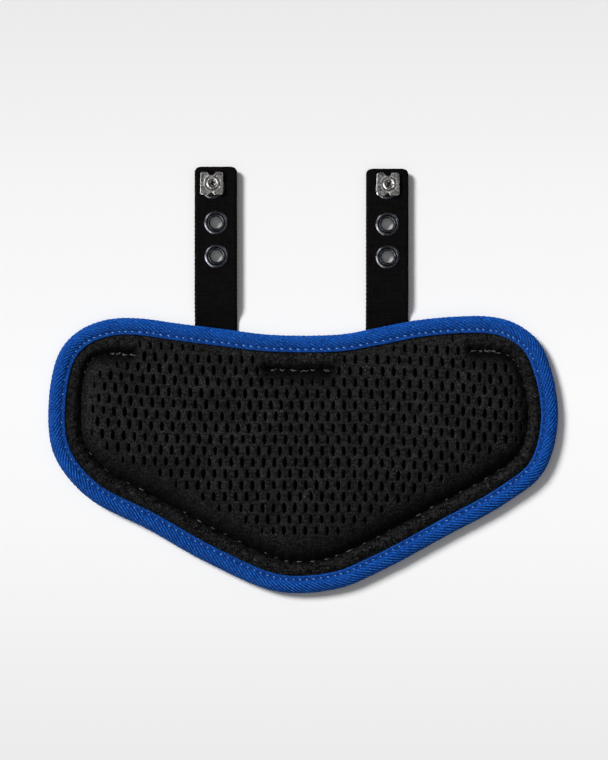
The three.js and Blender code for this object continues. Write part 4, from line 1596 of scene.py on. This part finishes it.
# %% Nut plates
PLATE_CORNER = 1.5
NOTCH_WIDTH = 4.8
NOTCH_DEPTH = 2.0
BITE_WIDTH = 2.8
SCREW_HOLE = 1.8
EMBOSS_RADIUS = 4.95
EMBOSS_WIDTH = 0.45
EMBOSS_HEIGHT = 0.16
EMBOSS_RADII = (3.2, 3.75, 4.0, 4.25, 4.5, 4.75, 5.0, 5.25, 5.5, 5.75, 6.0)
EDGE_ROOM = 0.7
EDGE_RAMP = 0.5
# Painted shade in the stamped rings and down the plate's edge.
SHADE_RINGS = ((4.15, 0.3, 0.9), (5.75, 0.3, 0.75))
EDGE_SHADE = (0.6, 0.0, 0.0, 0.2, 0.9, 1.0)


def arc(x, y, radius, start, end, steps=10):
    turn = np.radians(np.linspace(start, end, steps))
    return [(x + radius * math.cos(a), y + radius * math.sin(a)) for a in turn]


def plate_plan(w, h):
    """The nut plate's edge about its middle, counter-clockwise; w and h are half its sides."""
    c = PLATE_CORNER
    notch = [
        (NOTCH_WIDTH / 2 * math.cos(a), h - NOTCH_DEPTH * math.sin(a))
        for a in np.radians(np.linspace(0, 180, 13))
    ]
    plan = arc(w - c, -h + c, c, -90, 0) + arc(w - c, h - c, c, 0, 90) + notch
    plan += arc(-w + c, h - c, c, 90, 180) + arc(-w + c, -h + c, c, 180, 270)
    return plan + arc(0, -h, BITE_WIDTH / 2, 180, 0)


def edge_radius(plan, middle, centre):
    """Distance from the hole to the plan's edge in each ring direction."""
    plan = np.array(plan)
    count = len(plan)
    steps = np.linspace(0, 1, 8, endpoint=False)[:, None]
    sides = [plan[k] + (plan[(k + 1) % count] - plan[k]) * steps for k in range(count)]
    dense = np.concatenate(sides)
    offset = dense + np.array(middle) - np.array(centre)
    turn = np.mod(np.arctan2(offset[:, 1], offset[:, 0]), 2 * math.pi)
    order = np.argsort(turn)
    return np.interp(ring_turn, turn[order], np.hypot(*offset.T)[order], period=2 * math.pi)


def build_nut_plate(side):
    low, high, middle = box_of(f"nut_plate_{side}")
    centre = box_of(f"screw_{side}")[2][:2]
    edge = edge_radius(plate_plan(*(high - middle)[:2]), middle[:2], centre)
    base, top = low[2], high[2]
    rings = [ring_points(centre, SCREW_HOLE, base), ring_points(centre, SCREW_HOLE, top)]
    # The hole wall gets full painted shade.
    shade_values = [np.ones(RING_SIDES)] * 2
    for radius in EMBOSS_RADII:
        room = smooth_share((edge - EDGE_ROOM - radius) / EDGE_RAMP)
        raised = EMBOSS_HEIGHT * bell(radius - EMBOSS_RADIUS, EMBOSS_WIDTH) * room
        rings.append(ring_points(centre, np.minimum(radius, edge - EDGE_ROOM), top + raised))
        shade_values.append(sum(depth * bell(radius - at, wide) for at, wide, depth in SHADE_RINGS) * room)
    edge_cut = [(0.6, top), (0.42, top), (0.14, top - 0.07), (0, top - 0.22), (0, base + 0.15), (0.15, base)]
    rings += [ring_points(centre, edge - inset, height) for inset, height in edge_cut]
    shade_values += [np.full(RING_SIDES, share) for share in EDGE_SHADE]
    points, faces = ring_stack(rings, True)
    faces = [f[::-1] for f in faces]
    values = {"painted_metal_shade": by_column(shade_values)}
    piece = make_piece(f"stamped_nut_plate_{side}", points, faces, nickel, values)
    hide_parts(f"nut_plate_{side}")


for side in ("left", "right"):
    build_nut_plate(side)

# %% [markdown]
# The screw has a low flared head with a cross recess. The recess is four arms, so the height of a ring's
# point depends on its direction too. Below, a shank and a plain foot stand in for the end that the
# photograph doesn't show.

# %% Screws
HEAD_RADIUS = 3.8
HEAD_HEIGHT = 1.0
DISH_RADIUS = 2.6
DISH_DEPTH = 0.95
ARM_WIDTH = 0.62
ARM_LENGTH = 1.75
ARM_DEPTH = 1.3
FOOT_RADIUS = 4.5
FOOT_HEIGHT = 2.4
SHANK_RADIUS = 1.5
HEAD_RADII = (2.95, 2.6, 2.35, 2.1, 1.85, 1.6, 1.35, 1.1, 0.85, 0.6, 0.35, 0.12)
# Painted shade down the dish and the cross recess.
RECESS_SHADE = 0.35
ARM_SHADE = 0.6
SCREW_TURNS = {"left": 20, "right": 48}


def cross_depth(radius, turned_by):
    """Depth of the cross recess at a radius, in each ring direction."""
    arms = np.zeros_like(ring_turn)
    for k in range(4):
        angle = ring_turn - turned_by - k * math.pi / 2
        along, aside = radius * np.cos(angle), np.abs(radius * np.sin(angle))
        inside = smooth_share((ARM_WIDTH - aside) / 0.25) * smooth_share((ARM_LENGTH - along) / 0.35)
        arms = np.maximum(arms, inside * (along > 0))
    return ARM_DEPTH * arms


def build_screw(side, turned_by):
    _, high, centre = box_of(f"screw_{side}")
    top = high[2]
    seat = top - HEAD_HEIGHT
    foot = [(0.4, 0.02), (FOOT_RADIUS - 0.4, 0.02), (FOOT_RADIUS, 0.4)]
    foot += [(FOOT_RADIUS, FOOT_HEIGHT - 0.3), (FOOT_RADIUS - 0.3, FOOT_HEIGHT)]
    head = [(HEAD_RADIUS - 0.2, seat), (HEAD_RADIUS, seat + 0.25), (HEAD_RADIUS - 0.12, seat + 0.6)]
    head += [(HEAD_RADIUS - 0.45, seat + 0.92), (HEAD_RADIUS - 0.7, top)]
    shape = foot + [(SHANK_RADIUS, FOOT_HEIGHT), (SHANK_RADIUS, seat)] + head
    rings = [ring_points(centre, radius, height) for radius, height in shape]
    shade_values = [np.zeros(RING_SIDES)] * len(rings)
    for radius in HEAD_RADII:
        dish = smooth_share((DISH_RADIUS + 0.15 - radius) / 0.9)
        arms = cross_depth(radius, turned_by) * (radius < DISH_RADIUS)
        rings.append(ring_points(centre, radius, top - DISH_DEPTH * dish - arms))
        shade_values.append(RECESS_SHADE * dish + ARM_SHADE * arms / ARM_DEPTH)
    points, faces = ring_stack(rings, False)
    values = {"painted_metal_shade": by_column(shade_values)}
    piece = make_piece(f"cross_screw_{side}", points, faces, nickel, values)
    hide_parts(f"screw_{side}")


for side, degrees in SCREW_TURNS.items():
    build_screw(side, math.radians(degrees))
